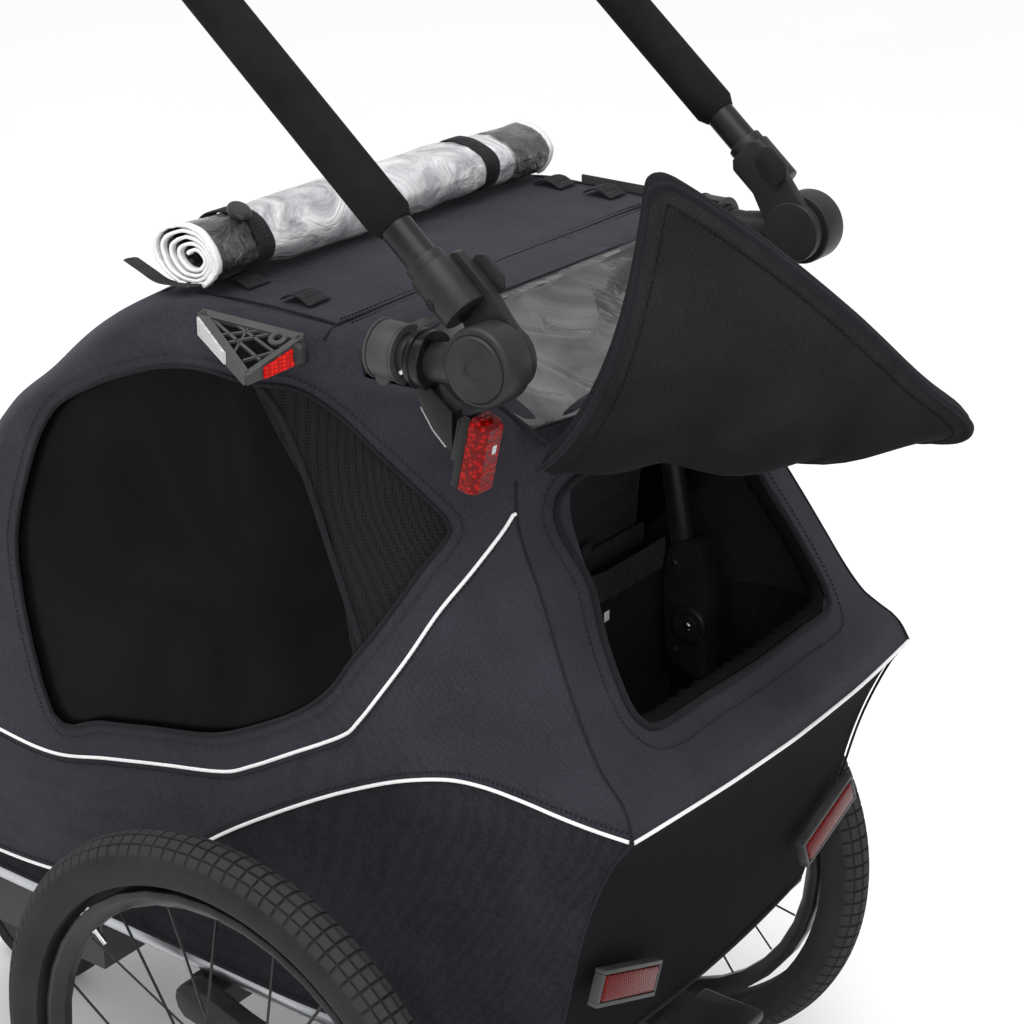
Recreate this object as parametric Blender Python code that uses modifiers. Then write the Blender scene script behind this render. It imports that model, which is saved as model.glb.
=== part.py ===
"""Child bicycle trailer: folding aluminium frame, fabric cabin, two spoked wheels, swivel front wheel and drawbar.

Metres, +X forward, +Y left, +Z up, ground at z = 0. Shapes are laid out with the wheel axle at x = 0,
and every object hangs from one empty that puts the middle of the whole length at the world origin.
"""
import math

import bmesh
import bpy
from mathutils import Matrix, Vector

# Driving dimensions
LENGTH_MIDDLE = 0.356
WHEEL_RADIUS = 0.25
TYRE_RADIUS = 0.0235
WHEEL_Y = 0.308
SPOKES = 20
TUBE_RADIUS = 0.0125
RAIL_Y = 0.205
RAIL_Z = 0.30
RAIL_REAR_X = -0.205
RAIL_FRONT_X = 0.545
HOOP_Y = 0.2125
STUB_Z = 0.903
FOLD_PIVOT = (0.505, 0.338)
STRUT_Y = 0.150
STRUT_TOP = (-0.085, 0.885)
STRUT_BOTTOM = (-0.165, 0.460)
HANDLE_PIVOT = (-0.200, 0.912)
HANDLE_REACH = 0.42
HANDLE_ANGLE = math.radians(40)
FLAP_HINGE = (-0.206, 0.822)
SUSPENSION_PIVOT = (0.105, 0.275)
AXLE = (0.0, WHEEL_RADIUS)
BUGGY_X = 0.600
BUGGY_TRAIL = 0.035
BUGGY_RADIUS = 0.09
DRAWBAR_Y = 0.205
DRAWBAR_Z = 0.267
HITCH = (1.10, 0.070, 0.330)
GAP = 0.0003
COVER_THICKNESS = 0.0025
SIDE_TAPER_X = 0.02

# Heights of the cabin: z, rear x, rear half-width, front x, front half-width, side half-width
CABIN_SLICES = (
    (0.315, -0.240, 0.198, 0.560, 0.190, 0.226),
    (0.400, -0.262, 0.204, 0.552, 0.195, 0.232),
    (0.480, -0.281, 0.208, 0.515, 0.200, 0.235),
    (0.545, -0.306, 0.210, 0.470, 0.203, 0.235),
    (0.571, -0.323, 0.209, 0.455, 0.204, 0.235),
    (0.590, -0.313, 0.205, 0.443, 0.205, 0.235),
    (0.612, -0.284, 0.195, 0.430, 0.205, 0.235),
    (0.664, -0.248, 0.185, 0.395, 0.206, 0.235),
    (0.717, -0.217, 0.173, 0.350, 0.207, 0.235),
    (0.777, -0.181, 0.158, 0.300, 0.208, 0.235),
    (0.815, -0.178, 0.155, 0.252, 0.208, 0.235),
    (0.840, -0.180, 0.158, 0.222, 0.209, 0.235),
    (0.862, -0.158, 0.180, 0.192, 0.210, 0.235),
    (0.885, -0.125, 0.222, 0.155, 0.212, 0.235),
    (0.903, -0.100, 0.226, 0.120, 0.213, 0.233),
    (0.912, -0.088, 0.216, 0.088, 0.210, 0.224),
)
CABIN_CROWN_Z = 0.9145
WINDOW_OUTLINE = (
    (0.258, 0.504), (0.285, 0.640), (0.262, 0.730), (0.229, 0.776), (0.174, 0.816), (0.124, 0.844),
    (0.070, 0.860), (0.018, 0.857), (-0.041, 0.860), (-0.085, 0.846), (-0.140, 0.795), (-0.128, 0.730),
    (-0.094, 0.669), (-0.066, 0.627), (-0.039, 0.610), (0.008, 0.579), (0.056, 0.551), (0.147, 0.527),
)
MESH_OUTLINE = ((-0.002, 0.866), (-0.090, 0.862), (-0.155, 0.800), (-0.145, 0.730), (-0.094, 0.640))
FRONT_OUTLINE = ((-0.185, 0.435), (0.185, 0.435), (0.185, 0.800), (0.150, 0.868), (-0.150, 0.868), (-0.185, 0.800))
TRUNK_OUTLINE = ((-0.140, 0.640), (-0.118, 0.622), (0.118, 0.622), (0.140, 0.640), (0.104, 0.792), (-0.104, 0.792))
FILM_OUTLINE = (
    (-0.190, -0.135), (-0.150, -0.150), (-0.106, -0.185), (-0.106, 0.185), (-0.150, 0.150), (-0.190, 0.135),
)

MATERIALS = {
    "aluminium": ((0.62, 0.63, 0.65), 0.35, 1.0),
    "black_plastic": ((0.035, 0.035, 0.037), 0.45, 0.0),
    "grey_plastic": ((0.09, 0.09, 0.088), 0.5, 0.0),
    "cabin_fabric": ((0.032, 0.032, 0.041), 0.9, 0.0),
    "clear_film": ((0.02, 0.02, 0.02), 0.1, 0.0),
    "mesh_fabric": ((0.02, 0.02, 0.02), 0.95, 0.0),
    "seat_fabric": ((0.03, 0.03, 0.034), 0.95, 0.0),
    "foam": ((0.012, 0.012, 0.012), 0.95, 0.0),
    "red_lens": ((0.6, 0.01, 0.01), 0.15, 0.0),
    "clear_roll": ((0.7, 0.7, 0.7), 0.2, 0.0),
    "tyre_rubber": ((0.03, 0.03, 0.03), 0.85, 0.0),
    "black_alloy": ((0.03, 0.03, 0.032), 0.3, 1.0),
}


# Scene and helpers
def clear_scene():
    for obj in list(bpy.data.objects):
        bpy.data.objects.remove(obj, do_unlink=True)


def collection(name):
    made = bpy.data.collections.new(name)
    bpy.context.scene.collection.children.link(made)
    return made


def material(name):
    found = bpy.data.materials.get(name)
    if found:
        return found
    colour, roughness, metallic = MATERIALS[name]
    made = bpy.data.materials.new(name)
    made.use_nodes = True
    shader = made.node_tree.nodes["Principled BSDF"]
    shader.inputs["Base Color"].default_value = (*colour, 1.0)
    shader.inputs["Roughness"].default_value = roughness
    shader.inputs["Metallic"].default_value = metallic
    made.diffuse_color = (*colour, 1.0)
    return made


def add(name, data, slot, smooth=True):
    obj = bpy.data.objects.new(name, data)
    data.materials.append(material(slot))
    PARTS.objects.link(obj)
    obj.parent = ORIGIN
    if smooth and obj.type == "MESH":
        data.shade_smooth()
        data.set_sharp_from_angle(angle=math.radians(35))
    return obj


def mesh_of(name, bm):
    data = bpy.data.meshes.new(name)
    bm.to_mesh(data)
    bm.free()
    return data


def as_helper(obj):
    """Turns an object into a cutter or a shape that another object joins."""
    PARTS.objects.unlink(obj)
    CUTTERS.objects.link(obj)
    obj.hide_render = True
    obj.display_type = "WIRE"
    return obj


def boolean(obj, other, operation):
    modifier = obj.modifiers.new(operation.lower(), "BOOLEAN")
    modifier.operation = operation
    modifier.solver = "EXACT"
    modifier.object = as_helper(other) if other.name in PARTS.objects else other
    return obj


def join(obj, *others):
    for other in others:
        boolean(obj, other, "UNION")
    return obj


def cut(obj, *others):
    for other in others:
        boolean(obj, other, "DIFFERENCE")
    return obj


def put_origin(obj, pivot):
    """Moves an object's origin to a joint's axis and leaves its shape where it is."""
    shift = obj.matrix_basis.inverted() @ Vector(pivot)
    obj.data.transform(Matrix.Translation(-shift))
    obj.location = pivot
    return obj


def box(name, low, high, slot, bevel=0.0):
    bm = bmesh.new()
    bmesh.ops.create_cube(bm, size=1.0)
    size = [b - a for a, b in zip(low, high)]
    middle = [(a + b) / 2 for a, b in zip(low, high)]
    bmesh.ops.scale(bm, vec=size, verts=bm.verts)
    bmesh.ops.translate(bm, vec=middle, verts=bm.verts)
    obj = add(name, mesh_of(name, bm), slot, smooth=False)
    if bevel:
        modifier = obj.modifiers.new("edges", "BEVEL")
        modifier.width = bevel
        modifier.segments = 2
    return obj


def rod(name, start, end, radius, slot, sides=16, end_radius=None):
    """A straight round bar from start to end, tapered where end_radius is given."""
    start, end = Vector(start), Vector(end)
    bm = bmesh.new()
    bmesh.ops.create_cone(
        bm, cap_ends=True, segments=sides, radius1=radius,
        radius2=radius if end_radius is None else end_radius, depth=(end - start).length,
    )
    turn = (end - start).to_track_quat("Z", "Y").to_matrix().to_4x4()
    bm.transform(Matrix.Translation((start + end) / 2) @ turn)
    return add(name, mesh_of(name, bm), slot)


def lathe(name, profile, centre, slot, steps=32, closed=False, along="Y"):
    """Turns (radius, distance along the axis) points, listed down the outer side, into a solid."""
    data = bpy.data.meshes.new(name)
    edges = [(i, i + 1) for i in range(len(profile) - 1)]
    if closed:
        edges.append((len(profile) - 1, 0))
    data.from_pydata([(r, 0.0, z) for r, z in profile], edges, [])
    obj = add(name, data, slot, smooth=False)
    modifier = obj.modifiers.new("turn", "SCREW")
    modifier.steps = steps
    modifier.render_steps = steps
    modifier.use_merge_vertices = True
    modifier.merge_threshold = 0.00001
    obj.location = centre
    obj.rotation_euler = {"Y": (math.radians(-90), 0, 0), "X": (0, math.radians(90), 0), "Z": (0, 0, 0)}[along]
    return obj


def smooth_path(points, pieces=4):
    """Points of a Catmull-Rom curve through the given ones."""
    p = [Vector(q) for q in points]
    p = [2 * p[0] - p[1], *p, 2 * p[-1] - p[-2]]
    made = []
    for a, b, c, d in zip(p, p[1:], p[2:], p[3:]):
        for step in range(pieces):
            t = step / pieces
            made.append(
                0.5 * (2 * b + (c - a) * t + (2 * a - 5 * b + 4 * c - d) * t ** 2 + (3 * b - a - 3 * c + d) * t ** 3)
            )
    return [*made, p[-2]]


def tube(name, points, radius, slot, sides=12):
    """A round bar along a polyline, with closed ends."""
    curve = bpy.data.curves.new(name, "CURVE")
    curve.dimensions = "3D"
    spline = curve.splines.new("POLY")
    spline.points.add(len(points) - 1)
    for point, place in zip(spline.points, points):
        point.co = (*place, 1.0)
    curve.bevel_depth = radius
    curve.bevel_resolution = (sides - 4) // 2
    curve.use_fill_caps = True
    return add(name, curve, slot)


def tube_mesh(name, points, radius, slot, sides=12):
    """The same bar made a mesh, so that it can be cut or joined."""
    curve_object = tube(name, points, radius, slot, sides)
    bpy.context.view_layer.update()
    graph = bpy.context.evaluated_depsgraph_get()
    data = bpy.data.meshes.new_from_object(curve_object.evaluated_get(graph))
    bpy.data.objects.remove(curve_object, do_unlink=True)
    bm = bmesh.new()
    bm.from_mesh(data)
    bmesh.ops.remove_doubles(bm, verts=bm.verts, dist=0.00001)
    data = mesh_of(name, bm)
    return add(name, data, slot)


def plate(name, outline, low, high, slot, along="Y"):
    """A flat outline given a thickness along Y (points are x, z), Z (x, y) or X (y, z)."""
    bm = bmesh.new()
    place = {
        "Y": lambda a, b, t: (a, t, b),
        "Z": lambda a, b, t: (a, b, t),
        "X": lambda a, b, t: (t, a, b),
    }[along]
    bottom = [bm.verts.new(place(a, b, low)) for a, b in outline]
    face = bm.faces.new(bottom)
    made = bmesh.ops.extrude_face_region(bm, geom=[face])
    moved = [v for v in made["geom"] if isinstance(v, bmesh.types.BMVert)]
    bmesh.ops.translate(bm, vec=place(0, 0, high - low), verts=moved)
    bmesh.ops.recalc_face_normals(bm, faces=bm.faces)
    return add(name, mesh_of(name, bm), slot)


def arc(centre, radius, start, end, steps):
    """Points of a round stretch, with its angles in degrees."""
    angles = [math.radians(start + (end - start) * i / steps) for i in range(steps + 1)]
    return [(centre[0] + radius * math.cos(a), centre[1] + radius * math.sin(a)) for a in angles]


def mixed(a, b, t):
    return a + (b - a) * t


# Wheels and suspension
def wheel(side, sign):
    centre = (0, sign * WHEEL_Y, WHEEL_RADIUS)
    ring = WHEEL_RADIUS - TYRE_RADIUS
    tyre = [(ring + TYRE_RADIUS * math.cos(a), TYRE_RADIUS * math.sin(a)) for a in clockwise_angles(10)]
    lathe(f"tyre_{side}", tyre, centre, "tyre_rubber", steps=36, closed=True)
    top = ring - TYRE_RADIUS - GAP - 0.0002
    rim = [(top, 0.011), (top, -0.011), (top - 0.006, -0.012), (top - 0.016, -0.004), (top - 0.016, 0.004),
           (top - 0.006, 0.012)]
    lathe(f"rim_{side}", rim, centre, "black_alloy", steps=36, closed=True)
    hub_with_spokes(side, centre, top - 0.0175)


def clockwise_angles(count):
    return [-2 * math.pi * i / count for i in range(count)]


def hub_with_spokes(side, centre, reach):
    profile = [(0.0066, 0.025), (0.013, 0.025), (0.013, 0.021), (0.026, 0.021), (0.026, 0.017), (0.014, 0.013),
               (0.014, -0.013), (0.026, -0.017), (0.026, -0.021), (0.013, -0.021), (0.013, -0.025), (0.0066, -0.025)]
    hub = lathe(f"hub_and_spokes_{side}", profile, centre, "black_alloy", steps=20, closed=True)
    spokes = bmesh.new()
    for i in range(SPOKES):
        flange = 0.019 if i % 2 else -0.019
        lean = math.radians(35 if (i // 2) % 2 else -35)
        angle = 2 * math.pi * i / SPOKES
        start = Vector((0.0235 * math.cos(angle + lean), flange, 0.0235 * math.sin(angle + lean)))
        end = Vector((reach * math.cos(angle), 0.1 * flange, reach * math.sin(angle)))
        turn = (end - start).to_track_quat("Z", "Y").to_matrix().to_4x4()
        bmesh.ops.create_cone(
            spokes, cap_ends=True, segments=4, radius1=0.0013, radius2=0.0013, depth=(end - start).length,
            matrix=Matrix.Translation((start + end) / 2) @ turn,
        )
    helper = add(f"spokes_{side}", mesh_of(f"spokes_{side}", spokes), "black_alloy")
    helper.location = centre
    join(hub, helper)


def suspension_arm(side, sign):
    """A leaf arm from the axle beam back to the wheel, with the axle on it."""
    inner, outer = sorted((sign * 0.2225, sign * 0.2405))
    px, pz = SUSPENSION_PIVOT
    outline = [*arc((px, pz), 0.019, -60, 110, 6), (0.05, 0.279), *arc(AXLE, 0.019, 100, 260, 6), (0.05, 0.249)]
    arm = plate(f"suspension_arm_{side}", outline, inner, outer, "black_plastic")
    face = sign * 0.2825
    join(
        arm,
        rod(f"spacer_{side}", (0, sign * 0.235, AXLE[1]), (0, face, AXLE[1]), 0.0105, "aluminium"),
        rod(f"axle_{side}", (0, sign * 0.236, AXLE[1]), (0, sign * 0.338, AXLE[1]), 0.0062, "aluminium"),
        rod(f"axle_cap_{side}", (0, sign * 0.3335, AXLE[1]), (0, sign * 0.341, AXLE[1]), 0.014, "aluminium"),
    )
    put_origin(arm, (px, 0, pz))


# Chassis
def chassis():
    for side, sign in SIDES:
        rail = tube_mesh(
            f"side_rail_{side}", [(RAIL_REAR_X, sign * RAIL_Y, RAIL_Z), (RAIL_FRONT_X, sign * RAIL_Y, RAIL_Z)],
            TUBE_RADIUS, "aluminium", 16,
        )
        bracket = box(
            f"pivot_bracket_{side}", (0.484, min(sign * 0.182, sign * 0.1995), 0.3045),
            (0.526, max(sign * 0.182, sign * 0.1995), 0.358), "black_plastic",
        )
        join(rail, bracket)
        rear_post(side, sign)
    cross = RAIL_Y + TUBE_RADIUS
    for name, x in (("rear_cross_tube", RAIL_REAR_X - TUBE_RADIUS - GAP),
                    ("front_cross_tube", RAIL_FRONT_X + TUBE_RADIUS + GAP)):
        rod(name, (x, -cross, RAIL_Z), (x, cross, RAIL_Z), TUBE_RADIUS, "aluminium")
    box("axle_beam", (0.085, -0.2215, 0.262), (0.125, 0.2215, 0.287), "black_plastic", 0.003)
    floor_tray()


def rear_post(side, sign):
    """The fixed lower half of a rear upright, with the lug that the folding strut latches to."""
    foot, top = Vector((-0.183, sign * 0.185, 0.314)), Vector((-0.177, sign * 0.185, 0.500))
    post = rod(f"rear_post_{side}", foot, top, TUBE_RADIUS, "aluminium")
    low, high = sorted((sign * 0.1618, sign * 0.1900))
    join(post, box(f"post_lug_{side}", (-0.189, low, 0.470), (-0.165, high, 0.497), "black_plastic"))


def floor_tray():
    tray = box("floor_tray", (-0.200, -0.189, 0.2960), (0.540, 0.189, 0.3040), "black_plastic")
    cut(tray, box("footwell_hole", (0.308, -0.152, 0.280), (0.527, 0.152, 0.330), "black_plastic"))
    tub = box("footwell_tub", (0.300, -0.160, 0.190), (0.535, 0.160, 0.2957), "black_plastic")
    cut(tub, box("footwell_inside", (0.308, -0.152, 0.198), (0.527, 0.152, 0.330), "black_plastic"))


def seat():
    pad = box("seat_pad", (-0.070, -0.125, 0.3050), (0.230, 0.125, 0.365), "seat_fabric", 0.012)
    pad.modifiers["edges"].segments = 3
    outline = [(-0.082, 0.372), (-0.069, 0.368), (-0.103, 0.855), (-0.114, 0.855)]
    plate("seat_back", outline, -0.133, 0.133, "seat_fabric")


# Front wheel, drawbar, brake
def buggy_wheel():
    receiver = box("buggy_wheel_receiver", (0.5712, -0.024, 0.262), (0.628, 0.024, 0.312), "black_plastic", 0.004)
    receiver.modifiers["edges"].segments = 1
    stem = rod("buggy_fork", (BUGGY_X, 0, 0.185), (BUGGY_X, 0, 0.2617), 0.012, "black_plastic")
    axle_x = BUGGY_X - BUGGY_TRAIL
    crown = box("buggy_crown", (axle_x - 0.013, -0.035, 0.184), (BUGGY_X + 0.014, 0.035, 0.200), "black_plastic")
    legs = []
    for side, sign in SIDES:
        low, high = sorted((sign * 0.0240, sign * 0.0330))
        outline = [*arc((axle_x, BUGGY_RADIUS), 0.012, -180, 0, 6), (BUGGY_X + 0.010, 0.190), (axle_x - 0.010, 0.190)]
        legs.append(plate(f"buggy_leg_{side}", outline, low, high, "black_plastic"))
    join(stem, crown, *legs)
    put_origin(stem, (BUGGY_X, 0, 0.20))
    centre = (axle_x, 0, BUGGY_RADIUS)
    tyre = [(BUGGY_RADIUS, 0.011), (BUGGY_RADIUS, -0.011), (BUGGY_RADIUS - 0.006, -0.018),
            (BUGGY_RADIUS - 0.020, -0.018), (BUGGY_RADIUS - 0.020, 0.018), (BUGGY_RADIUS - 0.006, 0.018)]
    lathe("buggy_tyre", tyre, centre, "tyre_rubber", steps=28, closed=True)
    rim_edge = BUGGY_RADIUS - 0.0205
    rim = [(0, 0.021), (0.014, 0.021), (0.016, 0.010), (rim_edge - 0.010, 0.010), (rim_edge, 0.016),
           (rim_edge, -0.016), (rim_edge - 0.010, -0.010), (0.016, -0.010), (0.014, -0.021), (0, -0.021)]
    lathe("buggy_rim", rim, centre, "grey_plastic", steps=28)


def drawbar():
    receiver = box(
        "hitch_receiver", (0.430, DRAWBAR_Y - 0.021, 0.247), (0.560, DRAWBAR_Y + 0.021, 0.2870), "black_plastic"
    )
    bore = rod("receiver_bore", (0.42, DRAWBAR_Y, DRAWBAR_Z), (0.57, DRAWBAR_Y, DRAWBAR_Z), 0.0147, "black_plastic", 24)
    knob_bore = rod("knob_bore", (0.50, DRAWBAR_Y, 0.230), (0.50, DRAWBAR_Y, 0.260), 0.0053, "black_plastic")
    cut(receiver, bore, knob_bore)
    straight = [(0.440, DRAWBAR_Y, DRAWBAR_Z), (0.620, DRAWBAR_Y, DRAWBAR_Z)]
    bend = [(0.700, 0.202, 0.267), (0.800, 0.176, 0.270), (0.900, 0.124, 0.283), (1.000, 0.084, 0.308),
            (1.050, 0.073, 0.326), (1.078, 0.070, 0.330)]
    path = [straight[0], *smooth_path([straight[1], *bend], 2)]
    tube("drawbar", path, 0.0138, "black_alloy", 12)
    coupler = lathe(
        "hitch_coupler",
        [(0, 0.026), (0.017, 0.026), (0.019, 0.020), (0.019, -0.020), (0.017, -0.026), (0, -0.026)],
        HITCH, "black_plastic", steps=20, along="Z",
    )
    tongue = box("hitch_tongue", (1.105, 0.064, 0.310), (1.155, 0.076, 0.350), "aluminium")
    hole = rod("hitch_hole", (1.140, 0.05, 0.330), (1.140, 0.09, 0.330), 0.0055, "aluminium")
    join(coupler, tongue)
    cut(coupler, hole)
    knob = lathe(
        "drawbar_lock_knob",
        [(0, 0.0255), (0.005, 0.0255), (0.005, 0.0198), (0.011, 0.0198), (0.012, 0.016), (0.012, 0.004),
         (0.010, 0), (0, 0)],
        (0.50, DRAWBAR_Y, 0.2265), "red_lens", steps=20, along="Z",
    )
    return knob


def brake():
    pedal = box("brake_pedal", (-0.292, -0.050, 0.262), (-0.2320, 0.050, 0.272), "black_plastic", 0.003)
    low, high = sorted((-0.030, 0.030))
    outline = [*arc((-0.222, 0.268), 0.010, -170, 40, 6), (-0.230, 0.276), (-0.238, 0.270)]
    join(pedal, plate("brake_hub", outline, low, high, "black_plastic"))
    put_origin(pedal, (-0.222, 0, 0.268))


# Cabin
def cabin_half_loop(z, rear, rear_half, front, front_half, side):
    """Half of one level of the cabin, from the middle of the rear to the middle of the front."""
    bulge = 0.012 if z < 0.60 else 0.020
    loop = []
    for t in (0.0, 0.35, 0.7, 0.95):
        loop.append((rear - bulge * (1 - t * t), rear_half * t))
    for t in (0.0, 0.12, 0.28, 0.46, 0.66, 0.84):
        x = mixed(rear, SIDE_TAPER_X, t)
        width = side - (side - rear_half) * (1 - t) ** 1.6
        loop.append((x, width))
    corner = min(0.035, (front - SIDE_TAPER_X) / 2)
    for t in (0.0, 0.33, 0.66, 1.0):
        loop.append((mixed(SIDE_TAPER_X, front - corner, t), side))
    loop.append((front - corner * 0.25, mixed(side, front_half, 0.5)))
    for t in (1.0, 0.66, 0.33, 0.0):
        loop.append((front + 0.022 * (1 - t * t), front_half * t))
    return loop


def cabin_shell(name, inset, thickness, slot):
    """A skin of the cabin's shape, set in from the outside by inset, open at the bottom."""
    bm = bmesh.new()
    rings = []
    for z, *rest in CABIN_SLICES:
        half = cabin_half_loop(z, *rest)
        other = [(x, -y) for x, y in reversed(half[1:-1])]
        rings.append([bm.verts.new((x, y, z)) for x, y in (*half, *other)])
    for lower, upper in zip(rings, rings[1:]):
        count = len(lower)
        for i in range(count):
            j = (i + 1) % count
            bm.faces.new((lower[j], lower[i], upper[i], upper[j]))
    crown = bm.verts.new((0.0, 0.0, CABIN_CROWN_Z))
    top = rings[-1]
    for i in range(len(top)):
        bm.faces.new((top[(i + 1) % len(top)], top[i], crown))
    bmesh.ops.recalc_face_normals(bm, faces=bm.faces)
    bm.normal_update()
    for vertex in bm.verts:
        vertex.co -= vertex.normal * inset
    obj = add(name, mesh_of(name, bm), slot)
    solid = obj.modifiers.new("thickness", "SOLIDIFY")
    solid.thickness = thickness
    solid.offset = -1
    solid.use_even_offset = False
    return obj


def cabin():
    cover = cabin_shell("cabin_cover", 0.0, COVER_THICKNESS, "cabin_fabric")
    window = plate("window_cutter", WINDOW_OUTLINE, -0.30, 0.30, "cabin_fabric")
    front = plate("front_cutter", FRONT_OUTLINE, 0.13, 0.70, "cabin_fabric", "X")
    trunk = plate("trunk_cutter", TRUNK_OUTLINE, -0.45, -0.16, "cabin_fabric", "X")
    film = plate("film_cutter", FILM_OUTLINE, 0.845, 0.95, "cabin_fabric", "Z")
    notches = [
        rod(f"stub_notch_{side}", (-0.30, sign * HOOP_Y, STUB_Z), (-0.075, sign * HOOP_Y, STUB_Z), 0.034,
            "cabin_fabric", 20)
        for side, sign in SIDES
    ]
    cut(cover, window, front, trunk, film, *notches)


def panel(name, cutter, slot, inset=0.0042):
    """A thin panel sewn behind an opening of the cover."""
    obj = cabin_shell(name, inset, 0.0012, slot)
    boolean(obj, cutter, "INTERSECT")


def panels():
    window_wide = widened(WINDOW_OUTLINE, 1.035)
    mesh_wide = MESH_OUTLINE
    for side, low, high in (("left", 0.10, 0.30), ("right", -0.30, -0.10)):
        opening = plate(f"window_panel_{side}", window_wide, low, high, "clear_film")
        corner = plate(f"mesh_panel_{side}", mesh_wide, low, high, "clear_film")
        panel(f"side_window_{side}", opening, "clear_film")
        boolean(bpy.data.objects[f"side_window_{side}"], mesh_gap(side, low, high), "DIFFERENCE")
        panel(f"side_mesh_{side}", corner, "mesh_fabric")
    panel("front_screen", plate("screen_panel", widened(FRONT_OUTLINE, 1.03), 0.13, 0.70, "mesh_fabric", "X"),
          "mesh_fabric")
    panel("roof_film", plate("film_panel", widened(FILM_OUTLINE, 1.03), 0.82, 0.95, "clear_film", "Z"), "clear_film")


def mesh_gap(side, low, high):
    """The mesh's outline, a little larger, so that the window stops short of it."""
    return plate(f"mesh_clear_{side}", widened(MESH_OUTLINE, 1.06), low - 0.01, high + 0.01, "mesh_fabric")


def widened(outline, scale):
    middle = [sum(values) / len(outline) for values in zip(*outline)]
    return [tuple(m + (v - m) * scale for m, v in zip(middle, point)) for point in outline]


# Roof frame
def roof_frame():
    path = [(0.505, 0.338), (0.500, 0.400), (0.486, 0.470), (0.440, 0.545), (0.398, 0.612), (0.360, 0.664),
            (0.316, 0.717), (0.264, 0.777), (0.216, 0.820), (0.160, 0.856), (0.100, 0.878), (0.040, 0.8885),
            (-0.030, 0.8915), (-0.0975, 0.8945)]
    for side, sign in SIDES:
        points = smooth_path([(x, sign * HOOP_Y, z) for x, z in path], 2)
        hoop = tube(f"roof_hoop_{side}", points, TUBE_RADIUS, "aluminium")
        put_origin(hoop, (FOLD_PIVOT[0], 0, FOLD_PIVOT[1]))
        hinge_base(side, sign)
        strut(side, sign)
        corner_bumper(side, sign)
        quick_release(side, sign)
    reach = HOOP_Y - TUBE_RADIUS - GAP
    rod("roof_front_tube", (0.100, -reach, 0.878), (0.100, reach, 0.878), TUBE_RADIUS, "aluminium")
    rod("roof_rear_tube", (*at_y(STRUT_TOP, -reach),), (*at_y(STRUT_TOP, reach),), TUBE_RADIUS, "aluminium")


def at_y(point, y):
    return (point[0], y, point[1])


def hinge_base(side, sign):
    """The fixed half of the handlebar's hinge: a drum with a neck that plugs into the roof hoop."""
    px, pz = HANDLE_PIVOT
    drum = rod(f"hinge_base_{side}", (px, sign * 0.2045, pz), (px, sign * 0.2325, pz), 0.0295, "black_plastic", 32)
    cap = rod(f"hinge_cap_{side}", (px, sign * 0.230, pz), (px, sign * 0.2350, pz), 0.0235, "black_plastic", 32)
    neck = rod(
        f"hinge_neck_{side}", (px + 0.010, sign * 0.2200, pz - 0.003), (-0.154, sign * HOOP_Y, STUB_Z),
        0.0148, "black_plastic", 16, 0.0148,
    )
    stub = rod(f"hinge_stub_{side}", (-0.156, sign * HOOP_Y, STUB_Z), (-0.0985, sign * HOOP_Y, STUB_Z), 0.0145,
               "black_plastic", 20)
    join(drum, cap, neck, stub)


def strut(side, sign):
    """The upper half of a rear upright: an eye on the roof's rear tube, and a latch bracket near its foot."""
    top, foot = at_y(STRUT_TOP, sign * STRUT_Y), at_y(STRUT_BOTTOM, sign * STRUT_Y)
    eye = [(0.0182, 0.010), (0.0182, -0.010), (0.0129, -0.010), (0.0129, 0.010)]
    obj = lathe(f"folding_strut_{side}", eye, top, "aluminium", steps=20, closed=True)
    start = Vector(top).lerp(Vector(foot), 0.036)
    bar = rod(f"strut_bar_{side}", start, foot, 0.0108, "aluminium", 12)
    low, high = sorted((sign * 0.1370, sign * 0.1605))
    outline = [(-0.166, 0.520), (-0.128, 0.528), (-0.124, 0.628), (-0.133, 0.638), (-0.158, 0.634)]
    bracket = plate(f"latch_bracket_{side}", outline, low, high, "black_plastic")
    knob = rod(f"latch_knob_{side}", (-0.152, sign * 0.1290, 0.566), (-0.152, sign * 0.1400, 0.566), 0.017,
               "black_plastic", 20)
    join(obj, bar, bracket, knob)


def corner_bumper(side, sign):
    """A triangular lattice pad on the roof's edge, with a red reflector on its rear outer side."""
    front, rear, tip = Vector((0.050, 0.2450, 0.912)), Vector((-0.058, 0.2450, 0.912)), Vector((-0.043, 0.3020, 0.880))
    across = (front - rear).normalized()
    normal = across.cross(tip - rear).normalized() * -1
    if normal.z < 0:
        normal = -normal
    middle = (front + rear + tip) / 3
    outer = triangle_prism(f"corner_bumper_{side}", (front, rear, tip), normal, 0.018, sign, "grey_plastic")
    inner = [middle.lerp(p, 0.72) + normal * 0.003 for p in (front, rear, tip)]
    cut(outer, *(lattice_hole(f"bumper_hole_{side}_{i}", inner, middle, i, normal, sign) for i in range(3)))
    edge = (rear - tip).normalized()
    out = edge.cross(normal)
    out = out if out.x < 0 else -out
    low, high = tip.lerp(rear, 0.14), tip.lerp(rear, 0.86)
    quad = [low, high, high - normal * 0.014, low - normal * 0.014]
    quad = [p - normal * 0.002 + out * GAP for p in quad]
    reflector_block(f"bumper_reflector_{side}", quad, out * 0.004, sign)


def triangle_prism(name, corners, normal, depth, sign, slot):
    bm = bmesh.new()
    top = [bm.verts.new((p.x, sign * p.y, p.z)) for p in corners]
    face = bm.faces.new(top)
    made = bmesh.ops.extrude_face_region(bm, geom=[face])
    moved = [v for v in made["geom"] if isinstance(v, bmesh.types.BMVert)]
    down = -normal * depth
    bmesh.ops.translate(bm, vec=(down.x, sign * down.y, down.z), verts=moved)
    bmesh.ops.recalc_face_normals(bm, faces=bm.faces)
    return add(name, mesh_of(name, bm), slot)


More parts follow.
